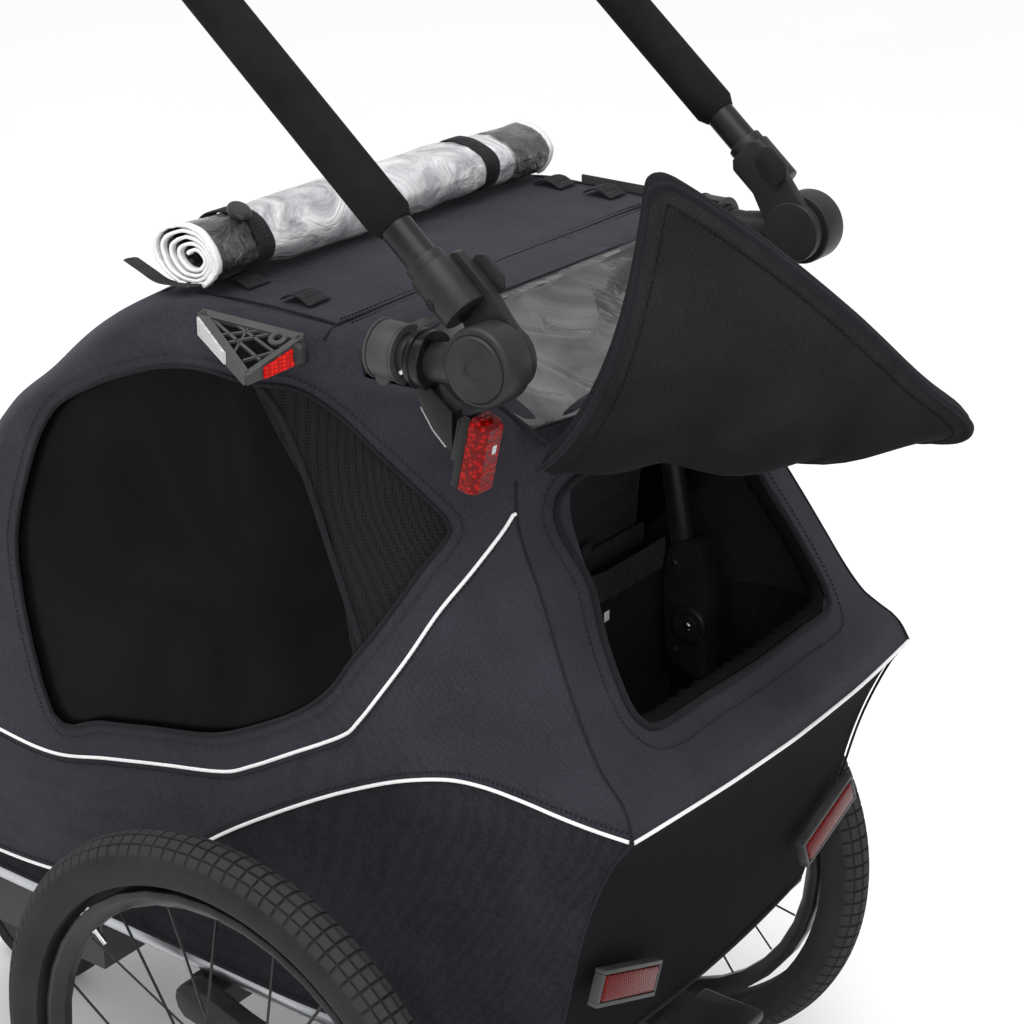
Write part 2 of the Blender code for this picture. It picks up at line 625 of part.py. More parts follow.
def lattice_hole(name, corners, middle, index, normal, sign):
    """One opening of the lattice, between two corners and the middle."""
    corners = (corners[index], corners[(index + 1) % 3], middle + normal * 0.003)
    centre = sum(corners, Vector()) / 3
    return triangle_prism(name, [centre.lerp(p, 0.86) for p in corners], normal, 0.030, sign, "grey_plastic")


def reflector_block(name, quad, out, sign):
    bm = bmesh.new()
    face = bm.faces.new([bm.verts.new((p.x, sign * p.y, p.z)) for p in quad])
    made = bmesh.ops.extrude_face_region(bm, geom=[face])
    moved = [v for v in made["geom"] if isinstance(v, bmesh.types.BMVert)]
    bmesh.ops.translate(bm, vec=(out.x, sign * out.y, out.z), verts=moved)
    bmesh.ops.recalc_face_normals(bm, faces=bm.faces)
    return add(name, mesh_of(name, bm), "red_lens")


def quick_release(side, sign):
    """A curved lever that closes over the clamp of the hinge's stub."""
    centre = (HOOP_Y, STUB_Z)
    outside = arc(centre, 0.0212, 100, -78, 12)
    inside = arc(centre, 0.0162, -70, 100, 12)
    tab = [(centre[0] + 0.0075, centre[1] - 0.0300), (centre[0] + 0.0025, centre[1] - 0.0300)]
    outline = [(sign * y, z) for y, z in (*outside, *tab, *inside)]
    lever = plate(f"quick_release_lever_{side}", outline, -0.122, -0.102, "grey_plastic", "X")
    put_origin(lever, (-0.112, sign * (HOOP_Y - 0.004), STUB_Z + 0.0190))


def tail_light():
    """A light that hangs from a ring clamp on the left stub."""
    ring = lathe("tail_light_bracket", [(0.0200, 0.006), (0.0200, -0.006), (0.0149, -0.006), (0.0149, 0.006)],
                 (-0.1400, HOOP_Y, STUB_Z), "black_plastic", steps=24, closed=True, along="X")
    outline = [(-0.146, 0.888), (-0.134, 0.886), (-0.150, 0.862), (-0.1705, 0.846), (-0.1705, 0.868)]
    join(ring, plate("light_arm", outline, 0.2100, 0.2200, "black_plastic"))
    lean = Matrix.Translation((-0.188, 0, 0.846)) @ Matrix.Rotation(math.radians(-12), 4, "Y")
    for name, low, high, slot in (
        ("tail_light_housing", (0.0003, 0.2050, -0.031), (0.0130, 0.2290, 0.029), "black_plastic"),
        ("tail_light_lens", (-0.0170, 0.2050, -0.031), (0.0, 0.2290, 0.027), "red_lens"),
    ):
        obj = box(name, low, high, slot, 0.003)
        obj.data.transform(lean)


def rain_cover_roll():
    roll = rod("rain_cover_roll", (0.088, -0.225, 0.942), (0.088, 0.225, 0.942), 0.025, "clear_roll", 24)
    stretch = Matrix.Translation((0.088, 0, 0)) @ Matrix.Diagonal((1.25, 1, 1, 1)) @ Matrix.Translation((-0.088, 0, 0))
    roll.data.transform(stretch)


# Handlebar
def handlebar():
    """A U of tube in two hinge sockets, with a foam grip over its upper half."""
    px, pz = HANDLE_PIVOT
    along = Vector((math.cos(HANDLE_ANGLE), 0, math.sin(HANDLE_ANGLE)))
    off = Vector((-math.sin(HANDLE_ANGLE), 0, math.cos(HANDLE_ANGLE))) * 0.010
    pivot = Vector((px, 0, pz))

    def point(reach, y):
        return pivot + along * reach + off + Vector((0, y, 0))

    for side, sign in SIDES:
        socket = rod(f"handlebar_socket_{side}", point(0.036, sign * HOOP_Y), point(0.078, sign * HOOP_Y), 0.0165,
                     "black_plastic", 20)
        disc = rod(f"socket_disc_{side}", (px, sign * 0.1910, pz), (px, sign * 0.2022, pz), 0.0235,
                   "black_plastic", 28)
        web = plate_along(f"socket_web_{side}", pivot, along, off, sign)
        join(socket, disc, web)
        put_origin(socket, (px, 0, pz))
    corner = 0.060
    arm = [point(0.0783, HOOP_Y), point(HANDLE_REACH - corner, HOOP_Y)]
    bend = [point(HANDLE_REACH - corner * (1 - math.sin(a)), HOOP_Y - corner * (1 - math.cos(a)))
            for a in (math.radians(18 * i) for i in range(1, 6))]
    half = [*arm, *bend]
    path = half + [Vector((p.x, -p.y, p.z)) for p in reversed(half)]
    bar = tube("handlebar_tube", path, TUBE_RADIUS, "black_alloy", 12)
    put_origin(bar, (px, 0, pz))
    grip_start = point(0.118, HOOP_Y)
    half = [grip_start, *half[1:]]
    path = half + [Vector((p.x, -p.y, p.z)) for p in reversed(half)]
    grip = tube_mesh("handlebar_grip", path, 0.0175, "foam", 12)
    bore_path = [path[0] - along * 0.01, *path[1:-1], path[-1] - along * 0.01]
    cut(grip, tube_mesh("grip_bore", bore_path, TUBE_RADIUS + 0.0009, "foam", 12))
    put_origin(grip, (px, 0, pz))


def plate_along(name, pivot, along, off, sign):
    """The flat cheek between a hinge's disc and its socket."""
    low, high = sorted((sign * 0.1915, sign * 0.2022))
    across = off.normalized()
    corners = [pivot + along * a + across * b for a, b in
               ((0.0, -0.020), (0.045, -0.006), (0.060, -0.004), (0.060, 0.024), (0.040, 0.026), (0.0, 0.024))]
    return plate(name, [(p.x, p.z) for p in corners], low, high, "black_plastic")


# Trunk flap and reflectors
def trunk_flap():
    """The trunk's cover, lifted and twisted: its left corner stands up, and its right corner lies back."""
    hinge_x, hinge_z = FLAP_HINGE
    left, right = Vector((hinge_x, 0.150, hinge_z)), Vector((hinge_x, -0.150, hinge_z))
    raised, lying = Vector((-0.312, 0.176, 1.050)), Vector((-0.442, -0.034, 0.838))
    sag = Vector((-0.010, 0, -0.020))
    bm = bmesh.new()
    count = 6
    rows = []
    for i in range(count + 1):
        u = i / count
        row = []
        for j in range(count + 1):
            v = j / count
            if v >= u:
                place = left + (raised - left) * v + (lying - raised) * u
            else:
                place = left + (right - left) * (u - v) + (lying - left) * v
            fold = max(0.0, 1 - 2.5 * abs(u - v)) * math.sin(math.pi * min(u, v))
            row.append(bm.verts.new(place + sag * fold))
        rows.append(row)
    for a, b in zip(rows, rows[1:]):
        for i in range(count):
            bm.faces.new((a[i], a[i + 1], b[i + 1], b[i]))
    obj = add("trunk_flap", mesh_of("trunk_flap", bm), "cabin_fabric")
    solid = obj.modifiers.new("thickness", "SOLIDIFY")
    solid.thickness = 0.004
    solid.offset = 0
    put_origin(obj, (hinge_x, 0, hinge_z))


def rear_reflectors():
    for side, sign in SIDES:
        bar = box(f"rear_reflector_{side}", (-0.290, -0.040, -0.011), (-0.280, 0.040, 0.011), "red_lens", 0.003)
        lean = Matrix.Translation((0, sign * 0.155, 0.408)) @ Matrix.Rotation(sign * math.radians(22), 4, "X")
        bar.data.transform(lean)


clear_scene()
PARTS = collection("child_bicycle_trailer")
CUTTERS = collection("cutters")
ORIGIN = bpy.data.objects.new("axle_ground_point", None)
ORIGIN.location = (-LENGTH_MIDDLE, 0, 0)
PARTS.objects.link(ORIGIN)
SIDES = (("left", 1), ("right", -1))

chassis()
seat()
for wheel_side, wheel_sign in SIDES:
    suspension_arm(wheel_side, wheel_sign)
    wheel(wheel_side, wheel_sign)
buggy_wheel()
drawbar()
brake()
cabin()
panels()
roof_frame()
tail_light()
rain_cover_roll()
handlebar()
trunk_flap()
rear_reflectors()
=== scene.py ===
"""Looks of the child bicycle trailer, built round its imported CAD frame.

Shapes are laid out in metres with the wheel axle at x = 0, +X forward, +Y left and +Z up,
and each piece is then moved to the frame's place.
"""
import math

import bmesh
import bpy
from mathutils import Matrix, Vector, noise


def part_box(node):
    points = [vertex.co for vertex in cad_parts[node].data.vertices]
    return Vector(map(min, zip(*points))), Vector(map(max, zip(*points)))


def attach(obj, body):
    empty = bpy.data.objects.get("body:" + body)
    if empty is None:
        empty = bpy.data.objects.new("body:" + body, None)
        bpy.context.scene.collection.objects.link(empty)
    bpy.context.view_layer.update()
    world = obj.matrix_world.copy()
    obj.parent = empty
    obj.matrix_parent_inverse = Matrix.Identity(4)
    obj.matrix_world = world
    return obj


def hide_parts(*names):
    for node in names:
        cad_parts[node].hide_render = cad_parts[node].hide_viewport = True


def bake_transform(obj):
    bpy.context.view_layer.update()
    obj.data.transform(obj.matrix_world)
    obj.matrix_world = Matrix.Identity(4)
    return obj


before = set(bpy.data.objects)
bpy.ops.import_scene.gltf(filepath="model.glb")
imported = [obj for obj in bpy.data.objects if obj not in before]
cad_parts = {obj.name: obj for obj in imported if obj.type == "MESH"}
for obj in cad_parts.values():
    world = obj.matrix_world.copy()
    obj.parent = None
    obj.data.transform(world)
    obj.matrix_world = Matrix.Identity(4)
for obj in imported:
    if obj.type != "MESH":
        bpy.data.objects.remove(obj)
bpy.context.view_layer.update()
HUB_LOW, HUB_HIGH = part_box("hub_and_spokes_left")
AXLE_X = (HUB_LOW.x + HUB_HIGH.x) / 2
TO_FRAME = Matrix.Translation((AXLE_X, 0, 0))
SIDES = (("left", 1), ("right", -1))

BLEND = "blend"

# The cabin at a height: z, rear x, rear half-width, front x, front half-width, side half-width
BASE_Z, SEAM_Z, BULGE_Z, SHOULDER_Z, ROOF_Z = 0.315, 0.571, 0.612, 0.8, 0.912
SEAM_SLICE = (SEAM_Z, -0.323, 0.209, 0.455, 0.204, 0.235)
LOWER_SLICES = (
    (0.315, -0.24, 0.198, 0.56, 0.19, 0.226),
    (0.4, -0.262, 0.204, 0.552, 0.195, 0.232),
    (0.48, -0.281, 0.208, 0.515, 0.2, 0.235),
    (0.545, -0.306, 0.21, 0.47, 0.203, 0.235),
    SEAM_SLICE,
)
UPPER_SLICES = (
    SEAM_SLICE,
    (0.59, -0.314, 0.204, 0.443, 0.205, 0.235),
    (0.612, -0.284, 0.195, 0.43, 0.205, 0.235),
    (0.664, -0.248, 0.185, 0.395, 0.206, 0.235),
    (0.717, -0.217, 0.173, 0.35, 0.207, 0.235),
    (0.777, -0.181, 0.158, 0.3, 0.208, 0.235),
    (0.815, -0.178, 0.155, 0.252, 0.208, 0.235),
    (0.84, -0.18, 0.158, 0.222, 0.209, 0.235),
    (0.862, -0.158, 0.18, 0.192, 0.21, 0.235),
    (0.885, -0.125, 0.222, 0.155, 0.212, 0.235),
    (0.903, -0.1, 0.226, 0.12, 0.213, 0.233),
    (0.912, -0.088, 0.216, 0.088, 0.21, 0.224),
)
TAPER_X = 0.02
CORNER = 0.035

# Outlines on the sides (x, z), on the front and the rear (y, z) and on the roof (x, y)
WINDOW = (
    (0.258, 0.506), (0.285, 0.64), (0.262, 0.73), (0.228, 0.789), (0.181, 0.82), (0.135, 0.841),
    (0.097, 0.854), (0.059, 0.86), (0.009, 0.859), (-0.025, 0.861), (-0.048, 0.853), (-0.069, 0.837),
    (-0.089, 0.815), (-0.117, 0.788), (-0.138, 0.767), (-0.139, 0.755), (-0.128, 0.735),
    (-0.113, 0.707), (-0.092, 0.673), (-0.074, 0.648), (-0.057, 0.622), (-0.028, 0.596), (0.025, 0.565),
    (0.07, 0.545), (0.138, 0.53), (0.198, 0.516),
)
MESH_CORNER = (
    (0.012, 0.874), (-0.08, 0.872), (-0.158, 0.785), (-0.15, 0.72), (-0.084, 0.64), (-0.052, 0.745),
)
MESH_EDGE = ((0.01, 0.86), (-0.01, 0.841), (-0.03, 0.796), (-0.055, 0.728), (-0.073, 0.683), (-0.084, 0.656))
FRONT = ((-0.185, 0.435), (0.185, 0.435), (0.185, 0.8), (0.15, 0.868), (-0.15, 0.868), (-0.185, 0.8))
TRUNK = (
    (-0.142, 0.645), (-0.139, 0.628), (-0.124, 0.62), (-0.06, 0.622), (0.06, 0.622), (0.124, 0.62),
    (0.139, 0.628), (0.142, 0.645), (0.137, 0.68), (0.126, 0.715), (0.102, 0.786), (-0.102, 0.786),
    (-0.126, 0.715), (-0.137, 0.68),
)
FILM = ((-0.19, -0.135), (-0.15, -0.15), (-0.106, -0.185), (-0.106, 0.185), (-0.15, 0.15), (-0.19, 0.135))
PIPING_HIGH = (
    (0.545, 0.53), (0.44, 0.49), (0.34, 0.47), (0.262, 0.467), (0.195, 0.483), (0.123, 0.5),
    (0.058, 0.515), (0.025, 0.531), (-0.019, 0.557), (-0.069, 0.587), (-0.084, 0.603), (-0.106, 0.636),
    (-0.125, 0.667), (-0.144, 0.703), (-0.161, 0.732), (-0.174, 0.76), (-0.18, 0.777),
)
PIPING_LOW = (
    (0.545, 0.33), (0.42, 0.332), (0.3, 0.338), (0.219, 0.354), (0.154, 0.385), (0.106, 0.422),
    (0.067, 0.452), (0.031, 0.477), (-0.024, 0.512), (-0.075, 0.541), (-0.123, 0.564), (-0.163, 0.577),
    (-0.195, 0.5805), (-0.229, 0.5785), (-0.264, 0.5745), (-0.297, 0.5722), (-0.321, 0.5712),
)


# Materials
def grey(value):
    return (value,) * 3


def new_material(name, colour, roughness, metallic=0.0, **sockets):
    """A Principled material and its node tree. Sockets are named with _ for a space."""
    made = bpy.data.materials.new(name)
    made.use_nodes = True
    tree = made.node_tree
    shader = tree.nodes["Principled BSDF"]
    shader.inputs["Base Color"].default_value = (*colour, 1)
    shader.inputs["Roughness"].default_value = roughness
    shader.inputs["Metallic"].default_value = metallic
    for key, value in sockets.items():
        shader.inputs[key.replace("_", " ")].default_value = value
    return made, tree, shader


def node(tree, kind, **settings):
    made = tree.nodes.new(kind)
    for key, value in settings.items():
        if key.startswith("in_"):
            made.inputs[key[3:].replace("_", " ")].default_value = value
        else:
            setattr(made, key, value)
    return made


def place_of(tree):
    return node(tree, "ShaderNodeTexCoord").outputs["Object"]


def noise_of(tree, place, scale, detail=3.0, roughness=0.5, distortion=0.0):
    made = node(tree, "ShaderNodeTexNoise", in_Scale=scale, in_Detail=detail, in_Roughness=roughness,
                in_Distortion=distortion)
    tree.links.new(place, made.inputs["Vector"])
    return made.outputs["Fac"]


def spread(tree, value, low, high, to_low=0.0, to_high=1.0):
    made = node(tree, "ShaderNodeMapRange")
    tree.links.new(value, made.inputs["Value"])
    for key, number in (("From Min", low), ("From Max", high), ("To Min", to_low), ("To Max", to_high)):
        made.inputs[key].default_value = number
    return made.outputs["Result"]


def sum_of(tree, *values, operation="ADD"):
    total = values[0]
    for value in values[1:]:
        made = node(tree, "ShaderNodeMath", operation=operation)
        tree.links.new(total, made.inputs[0])
        tree.links.new(value, made.inputs[1])
        total = made.outputs[0]
    return total


def colours(tree, factor, dark, light):
    made = node(tree, "ShaderNodeMix", data_type="RGBA")
    tree.links.new(factor, made.inputs["Factor"])
    made.inputs[6].default_value = (*dark, 1)
    made.inputs[7].default_value = (*light, 1)
    return made.outputs[2]


def finish(tree, shader, colour, roughness, *bumps):
    """Wires a material's colour, its roughness and its bumps."""
    tree.links.new(colour, shader.inputs["Base Color"])
    tree.links.new(roughness, shader.inputs["Roughness"])
    bump(tree, shader, *bumps)


def bump(tree, shader, *layers):
    """Bumps of (height, strength, distance in metres), the coarsest first."""
    last = None
    for height, strength, distance in layers:
        made = node(tree, "ShaderNodeBump", in_Strength=strength, in_Distance=distance)
        tree.links.new(height, made.inputs["Height"])
        if last is not None:
            tree.links.new(last, made.inputs["Normal"])
        last = made.outputs["Normal"]
    tree.links.new(last, shader.inputs["Normal"])


THREAD_DRIFT = 0.0024


def threads(tree, place, period):
    """A woven grid that shows on a surface of any direction, its threads wandering a little."""
    drift = node(tree, "ShaderNodeTexNoise", in_Scale=260.0, in_Detail=1.0)
    tree.links.new(place, drift.inputs["Vector"])
    moved = node(tree, "ShaderNodeVectorMath", operation="MULTIPLY_ADD")
    tree.links.new(drift.outputs["Color"], moved.inputs[0])
    moved.inputs[1].default_value = (THREAD_DRIFT,) * 3
    tree.links.new(place, moved.inputs[2])
    waves = []
    for direction in "XYZ":
        wave = node(
            tree, "ShaderNodeTexWave", wave_type="BANDS", bands_direction=direction, wave_profile="SIN",
            in_Scale=2 * math.pi / (20 * period), in_Distortion=0.6, in_Detail=1.0,
        )
        tree.links.new(moved.outputs[0], wave.inputs["Vector"])
        waves.append(wave.outputs["Fac"])
    return spread(tree, sum_of(tree, *waves), 0.4, 2.6)


def cloth(name, dark, light, period=0.0013, wrinkle=0.5, roughness=0.85, sheen=0.08, gloss=0.12):
    made, tree, shader = new_material(
        name, light, roughness, Sheen_Weight=sheen, Sheen_Roughness=0.45, Specular_IOR_Level=gloss,
    )
    shader.inputs["Sheen Tint"].default_value = (0.75, 0.75, 0.85, 1)
    place = place_of(tree)
    woven = threads(tree, place, period)
    mottle = noise_of(tree, place, 14.0, 5.0, 0.6)
    slub = noise_of(tree, place, 420.0, 2.0, 0.7)
    factor = spread(tree, sum_of(tree, woven, mottle, slub, mottle), 1.4, 2.6)
    rough = spread(tree, mottle, 0.3, 0.7, roughness - 0.07, roughness + 0.07)
    folds = noise_of(tree, place, 9.0, 4.0, 0.55, 0.8)
    finish(tree, shader, colours(tree, factor, dark, light), rough,
           (folds, wrinkle, 0.006), (woven, 0.16, 0.0003), (slub, 0.25, 0.0003))
    return made


def moulded(name, dark, light, roughness=0.5, grain=900.0, depth=0.00012, metallic=0.0, **sockets):
    """Moulded plastic, rubber or coated metal, with a fine grain and handling marks."""
    sockets.setdefault("Specular_IOR_Level", 0.22)
    made, tree, shader = new_material(name, light, roughness, metallic, **sockets)
    place = place_of(tree)
    marks = noise_of(tree, place, 22.0, 6.0, 0.65)
    fine = noise_of(tree, place, grain, 2.0, 0.6)
    colour = colours(tree, spread(tree, marks, 0.32, 0.68), dark, light)
    smoothest, roughest = max(0.03, roughness - 0.1), min(1.0, roughness + 0.1)
    rough = spread(tree, sum_of(tree, marks, fine), 0.6, 1.4, smoothest, roughest)
    finish(tree, shader, colour, rough, (fine, 0.4, depth))
    return made


def net(name, dark, light, hole=0.0026):
    """An open knit with round holes."""
    made, tree, shader = new_material(name, light, 0.8, Sheen_Weight=0.04, Specular_IOR_Level=0.1)
    place = place_of(tree)
    cells = node(tree, "ShaderNodeTexVoronoi", in_Scale=1 / hole, in_Randomness=0.12)
    tree.links.new(place, cells.inputs["Vector"])
    solid = spread(tree, cells.outputs["Distance"], 0.2, 0.48)
    soft = noise_of(tree, place, 12.0, 3.0)
    finish(tree, shader, colours(tree, solid, dark, light), spread(tree, soft, 0.3, 0.7, 0.72, 0.9),
           (soft, 0.3, 0.004), (solid, 0.8, 0.0008))
    return made


def film(name, dark, light, roughness, alpha, crumple=0.6, size=16.0, gloss=0.5, coat=0.3):
    """Flexible clear film with soft creases."""
    made, tree, shader = new_material(
        name, light, roughness, Alpha=alpha, Coat_Weight=coat, Coat_Roughness=0.05, Specular_IOR_Level=gloss,
    )
    place = place_of(tree)
    creases = noise_of(tree, place, size, 5.0, 0.6, 1.6)
    dust = noise_of(tree, place, 160.0, 3.0)
    colour = colours(tree, spread(tree, creases, 0.35, 0.65), dark, light)
    rough = spread(tree, dust, 0.3, 0.7, max(0.02, roughness - 0.05), roughness + 0.06)
    finish(tree, shader, colour, rough, (creases, crumple, 0.01))
    return made


def prism_lens(name, dark, light, size=330.0, uneven=0.0):
    """A ribbed red or white reflector lens."""
    made, tree, shader = new_material(
        name, light, 0.16, Coat_Weight=0.1, Coat_Roughness=0.04, Specular_IOR_Level=0.1,
    )
    place = place_of(tree)
    cells = node(tree, "ShaderNodeTexVoronoi", in_Scale=size, in_Randomness=uneven)
    tree.links.new(place, cells.inputs["Vector"])
    facet = spread(tree, cells.outputs["Distance"], 0.05, 0.55)
    finish(tree, shader, colours(tree, facet, light, dark), spread(tree, facet, 0.0, 1.0, 0.12, 0.25),
           (facet, 0.5, 0.0006))
    return made


M = {
    "fabric": cloth("cabin_weave", (0.016, 0.016, 0.021), (0.032, 0.031, 0.04)),
    "fabric_low": cloth(
        "lower_weave", (0.013, 0.013, 0.0155), (0.026, 0.026, 0.031), wrinkle=0.35, sheen=0.0, gloss=0.02,
    ),
    "flap": cloth(
        "flap_weave", (0.014, 0.014, 0.0155), (0.029, 0.029, 0.032), wrinkle=0.9, sheen=0.02, gloss=0.03,
    ),
    "hem": cloth("hem_tape", (0.008, 0.008, 0.01), (0.016, 0.016, 0.019), 0.0009, 0.1, 0.9, 0.04),
    "lining": cloth("lining", (0.003, 0.003, 0.004), (0.006, 0.006, 0.007), 0.0016, 0.4, 0.95, 0.0),
    "webbing": cloth("webbing", (0.008, 0.008, 0.01), (0.026, 0.026, 0.029), 0.0022, 0.1, 0.75, 0.04),
    "thread": cloth("sewing_thread", (0.01, 0.01, 0.012), (0.03, 0.03, 0.034), 0.0008, 0.1, 0.7, 0.04),
    "piping": cloth("reflective_piping", grey(0.66), grey(0.86), 0.001, 0.1, 0.45, 0.0),
    "seat": cloth("seat_weave", (0.01, 0.01, 0.012), (0.022, 0.022, 0.026), 0.0018, 0.3, 0.9, 0.04),
    "net": net("side_net", grey(0.0015), grey(0.01)),
    "window": film(
        "smoked_film", (0.002, 0.002, 0.0022), (0.0045, 0.0045, 0.0048), 0.3, 1.0, 0.1, 5.0, 0.03, 0.0,
    ),
    "film": film("clear_film", (0.008, 0.008, 0.009), (0.135, 0.135, 0.138), 0.1, 0.88, 0.6, 5.0, 0.6, 0.35),
    "roll": film("rolled_film", (0.34, 0.34, 0.36), (0.8, 0.8, 0.82), 0.14, 0.86, 0.7, 22.0, 0.7, 0.5),
    "border": film(
        "border_film", (0.006, 0.006, 0.007), (0.055, 0.055, 0.058), 0.16, 1.0, 1.4, 45.0, 0.8, 0.5,
    ),
    "plastic": moulded("black_moulding", (0.011, 0.011, 0.012), (0.022, 0.022, 0.023), 0.42),
    "plastic_grey": moulded("grey_moulding", grey(0.033), grey(0.056), 0.45),
    "rubber": moulded("tyre_rubber", grey(0.009), grey(0.021), 0.82, 500.0, 0.0003),
    "foam": moulded(
        "grip_foam", grey(0.006), (0.011, 0.011, 0.012), 0.95, 1300.0, 0.0006, Specular_IOR_Level=0.1,
    ),
    "alloy": moulded("anodised_alloy", (0.36, 0.37, 0.39), (0.5, 0.51, 0.53), 0.36, 1500.0, 0.00004, 1.0),
    "coated": moulded("black_coating", (0.01, 0.01, 0.011), (0.02, 0.02, 0.022), 0.34, 700.0, 0.00008, 0.1),
    "plastic_deep": moulded("dark_moulding", grey(0.004), grey(0.009), 0.3),
    # Painted shade: a near-black moulding for the block that stands for the shade inside the bumper lattice.
    "hollow": moulded("shaded_moulding", grey(0.002), grey(0.0045), 0.9, Specular_IOR_Level=0.02),
    "steel": moulded("steel", (0.42, 0.42, 0.43), (0.62, 0.62, 0.63), 0.25, 1200.0, 0.00003, 1.0),
    "red": prism_lens("red_prism", (0.36, 0.003, 0.002), (0.9, 0.018, 0.008)),
    # Painted shade: a darker copy of the red lens, for the rear reflectors that sit in shade.
    "red_dark": prism_lens("shaded_red_prism", (0.05, 0.0012, 0.0012), (0.21, 0.004, 0.004)),
    "lamp": prism_lens("lamp_lens", (0.11, 0.0006, 0.0006), (0.44, 0.003, 0.003), 260.0, 0.7),
    "white": prism_lens("white_prism", grey(0.42), grey(0.7)),
}


def base_colour(made):
    """A material's node tree, its colour socket and what feeds that socket."""
    tree = made.node_tree
    socket_in = tree.nodes["Principled BSDF"].inputs["Base Color"]
    return tree, socket_in, socket_in.links[0].from_socket


def lighten_edges(made, low, high, light):
    """Lighter colour on sharp convex edges, from the surface's pointiness."""
    tree, colour, old = base_colour(made)
    edge_mask = spread(tree, node(tree, "ShaderNodeNewGeometry").outputs["Pointiness"], low, high)
    mix = node(tree, "ShaderNodeMix", data_type="RGBA")
    tree.links.new(edge_mask, mix.inputs["Factor"])
    tree.links.new(old, mix.inputs[6])
    mix.inputs[7].default_value = (*light, 1)
    tree.links.new(mix.outputs[2], colour)


def paint_shade_behind(made, axis, low, high, share):
    """Painted shade: the colour is darker where the surface faces back or down."""
    tree, colour, old = base_colour(made)
    parts = node(tree, "ShaderNodeSeparateXYZ")
    tree.links.new(node(tree, "ShaderNodeTexCoord").outputs["Normal"], parts.inputs[0])
    strength = spread(tree, parts.outputs[axis], low, high, share, 1.0)
    mix = node(tree, "ShaderNodeVectorMath", operation="SCALE")
    tree.links.new(old, mix.inputs[0])
    tree.links.new(strength, mix.inputs["Scale"])
    tree.links.new(mix.outputs[0], colour)


lighten_edges(M["rubber"], 0.51, 0.6, grey(0.032))
# Painted shade: the lower fabric is darkened where it faces the rear, and the flap where it faces down.
paint_shade_behind(M["fabric_low"], "X", -0.6, -0.3, 0.45)
paint_shade_behind(M["flap"], "Z", -0.55, 0.05, 0.45)


# Meshes
def linked(name, data):
    obj = bpy.data.objects.new(name, data)
    bpy.context.scene.collection.objects.link(obj)
    return obj


def object_of(name, bm):
    data = bpy.data.meshes.new(name)
    bm.to_mesh(data)
    bm.free()
    return linked(name, data)


def thicken(obj, thickness, offset=-1):
    solid = obj.modifiers.new("thickness", "SOLIDIFY")
    solid.thickness = thickness
    solid.offset = offset


def make(name, bm, material, body, angle=35.0, thickness=0.0, replaces=()):
    """Turns a bmesh laid out round the axle into a piece. A thickness below zero is added outwards."""
    obj = object_of(name, bm)
    if thickness:
        thicken(obj, abs(thickness), -1 if thickness > 0 else 1)
    return dress(obj, material, body, replaces, angle)


def dress(obj, material, body, replaces=(), angle=40.0):
    """Gives a shape its material and its place in the frame. Edges sharper than the angle stay sharp."""
    obj.data.transform(TO_FRAME)
    obj.data.materials.clear()
    obj.data.materials.append(M[material])
    obj.data.shade_smooth()
    obj.data.set_sharp_from_angle(angle=math.radians(angle))
    return settle(obj, body, replaces)


def settle(obj, body, replaces=()):
    """Says what a piece moves with and the CAD solids that it stands for."""
    if body == BLEND:
        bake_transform(obj)
    elif body:
        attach(obj, body)
    if replaces:
        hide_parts(*replaces)
    return obj


def grid_into(bm, rows, closed_across=False, closed_along=False):
    made = [[bm.verts.new(p) for p in row] for row in rows]
    count = len(rows[0])
    for i in range(len(made) if closed_along else len(made) - 1):
        a, b = made[i], made[(i + 1) % len(made)]
        for j in range(count if closed_across else count - 1):
            k = (j + 1) % count
            bm.faces.new((a[j], a[k], b[k], b[j]))
    return made


def solid_into(bm, rings):
    """A closed body round rings of points."""
    made = grid_into(bm, rings, closed_across=True)
    bm.faces.new(list(reversed(made[0])))
    bm.faces.new(made[-1])


def tube_into(bm, points, radius, sides=8, closed=False, wide=1.0, up=None):
    """A tube along points. wide stretches it sideways to a flat cord."""
    points = [Vector(p) for p in points]
    count = len(points)
    rows = []
    side = None
    for i, p in enumerate(points):
        before = points[i - 1] if i or closed else p
        after = points[(i + 1) % count] if i < count - 1 or closed else p
        along = (after - before).normalized()
        if up is not None:
            side = along.cross(Vector(up))
        elif side is None:
            side = along.cross(Vector((0, 0, 1)) if abs(along.z) < 0.9 else Vector((1, 0, 0)))
        side = (side - along * side.dot(along)).normalized()
        over = side.cross(along)
        r = radius(i / max(1, count - 1)) if callable(radius) else radius
        rows.append([
            p + side * (math.cos(a) * r * wide) + over * (math.sin(a) * r)
            for a in (2 * math.pi * k / sides for k in range(sides))
        ])
    if closed:
        grid_into(bm, rows, closed_across=True, closed_along=True)
    else:
        solid_into(bm, rows)


def lathe_into(bm, profile, base, axis, steps=48):
    """Turns a profile of (radius, height) round an axis from base."""
    base, axis = Vector(base), Vector(axis).normalized()
    side = axis.orthogonal().normalized()
    over = axis.cross(side)
    rows = [
        [base + axis * h + (side * math.cos(a) + over * math.sin(a)) * max(r, 1e-5)
         for a in (2 * math.pi * k / steps for k in range(steps))]
        for r, h in profile
    ]
    if profile[0] == profile[-1]:
        grid_into(bm, rows[:-1], closed_across=True, closed_along=True)
    else:
        solid_into(bm, rows)


def rounded(radius, low, high, edge):
    """The profile of a short cylinder with rounded edges."""
    corner = [math.radians(a) for a in (0, 22.5, 45, 67.5, 90)]
    bottom = [(radius - edge * (1 - math.sin(a)), low + edge * (1 - math.cos(a))) for a in corner]
    top = [(radius - edge * (1 - math.sin(a)), high - edge * (1 - math.cos(a))) for a in reversed(corner)]
    return [(0, low), *bottom, *top, (0, high)]


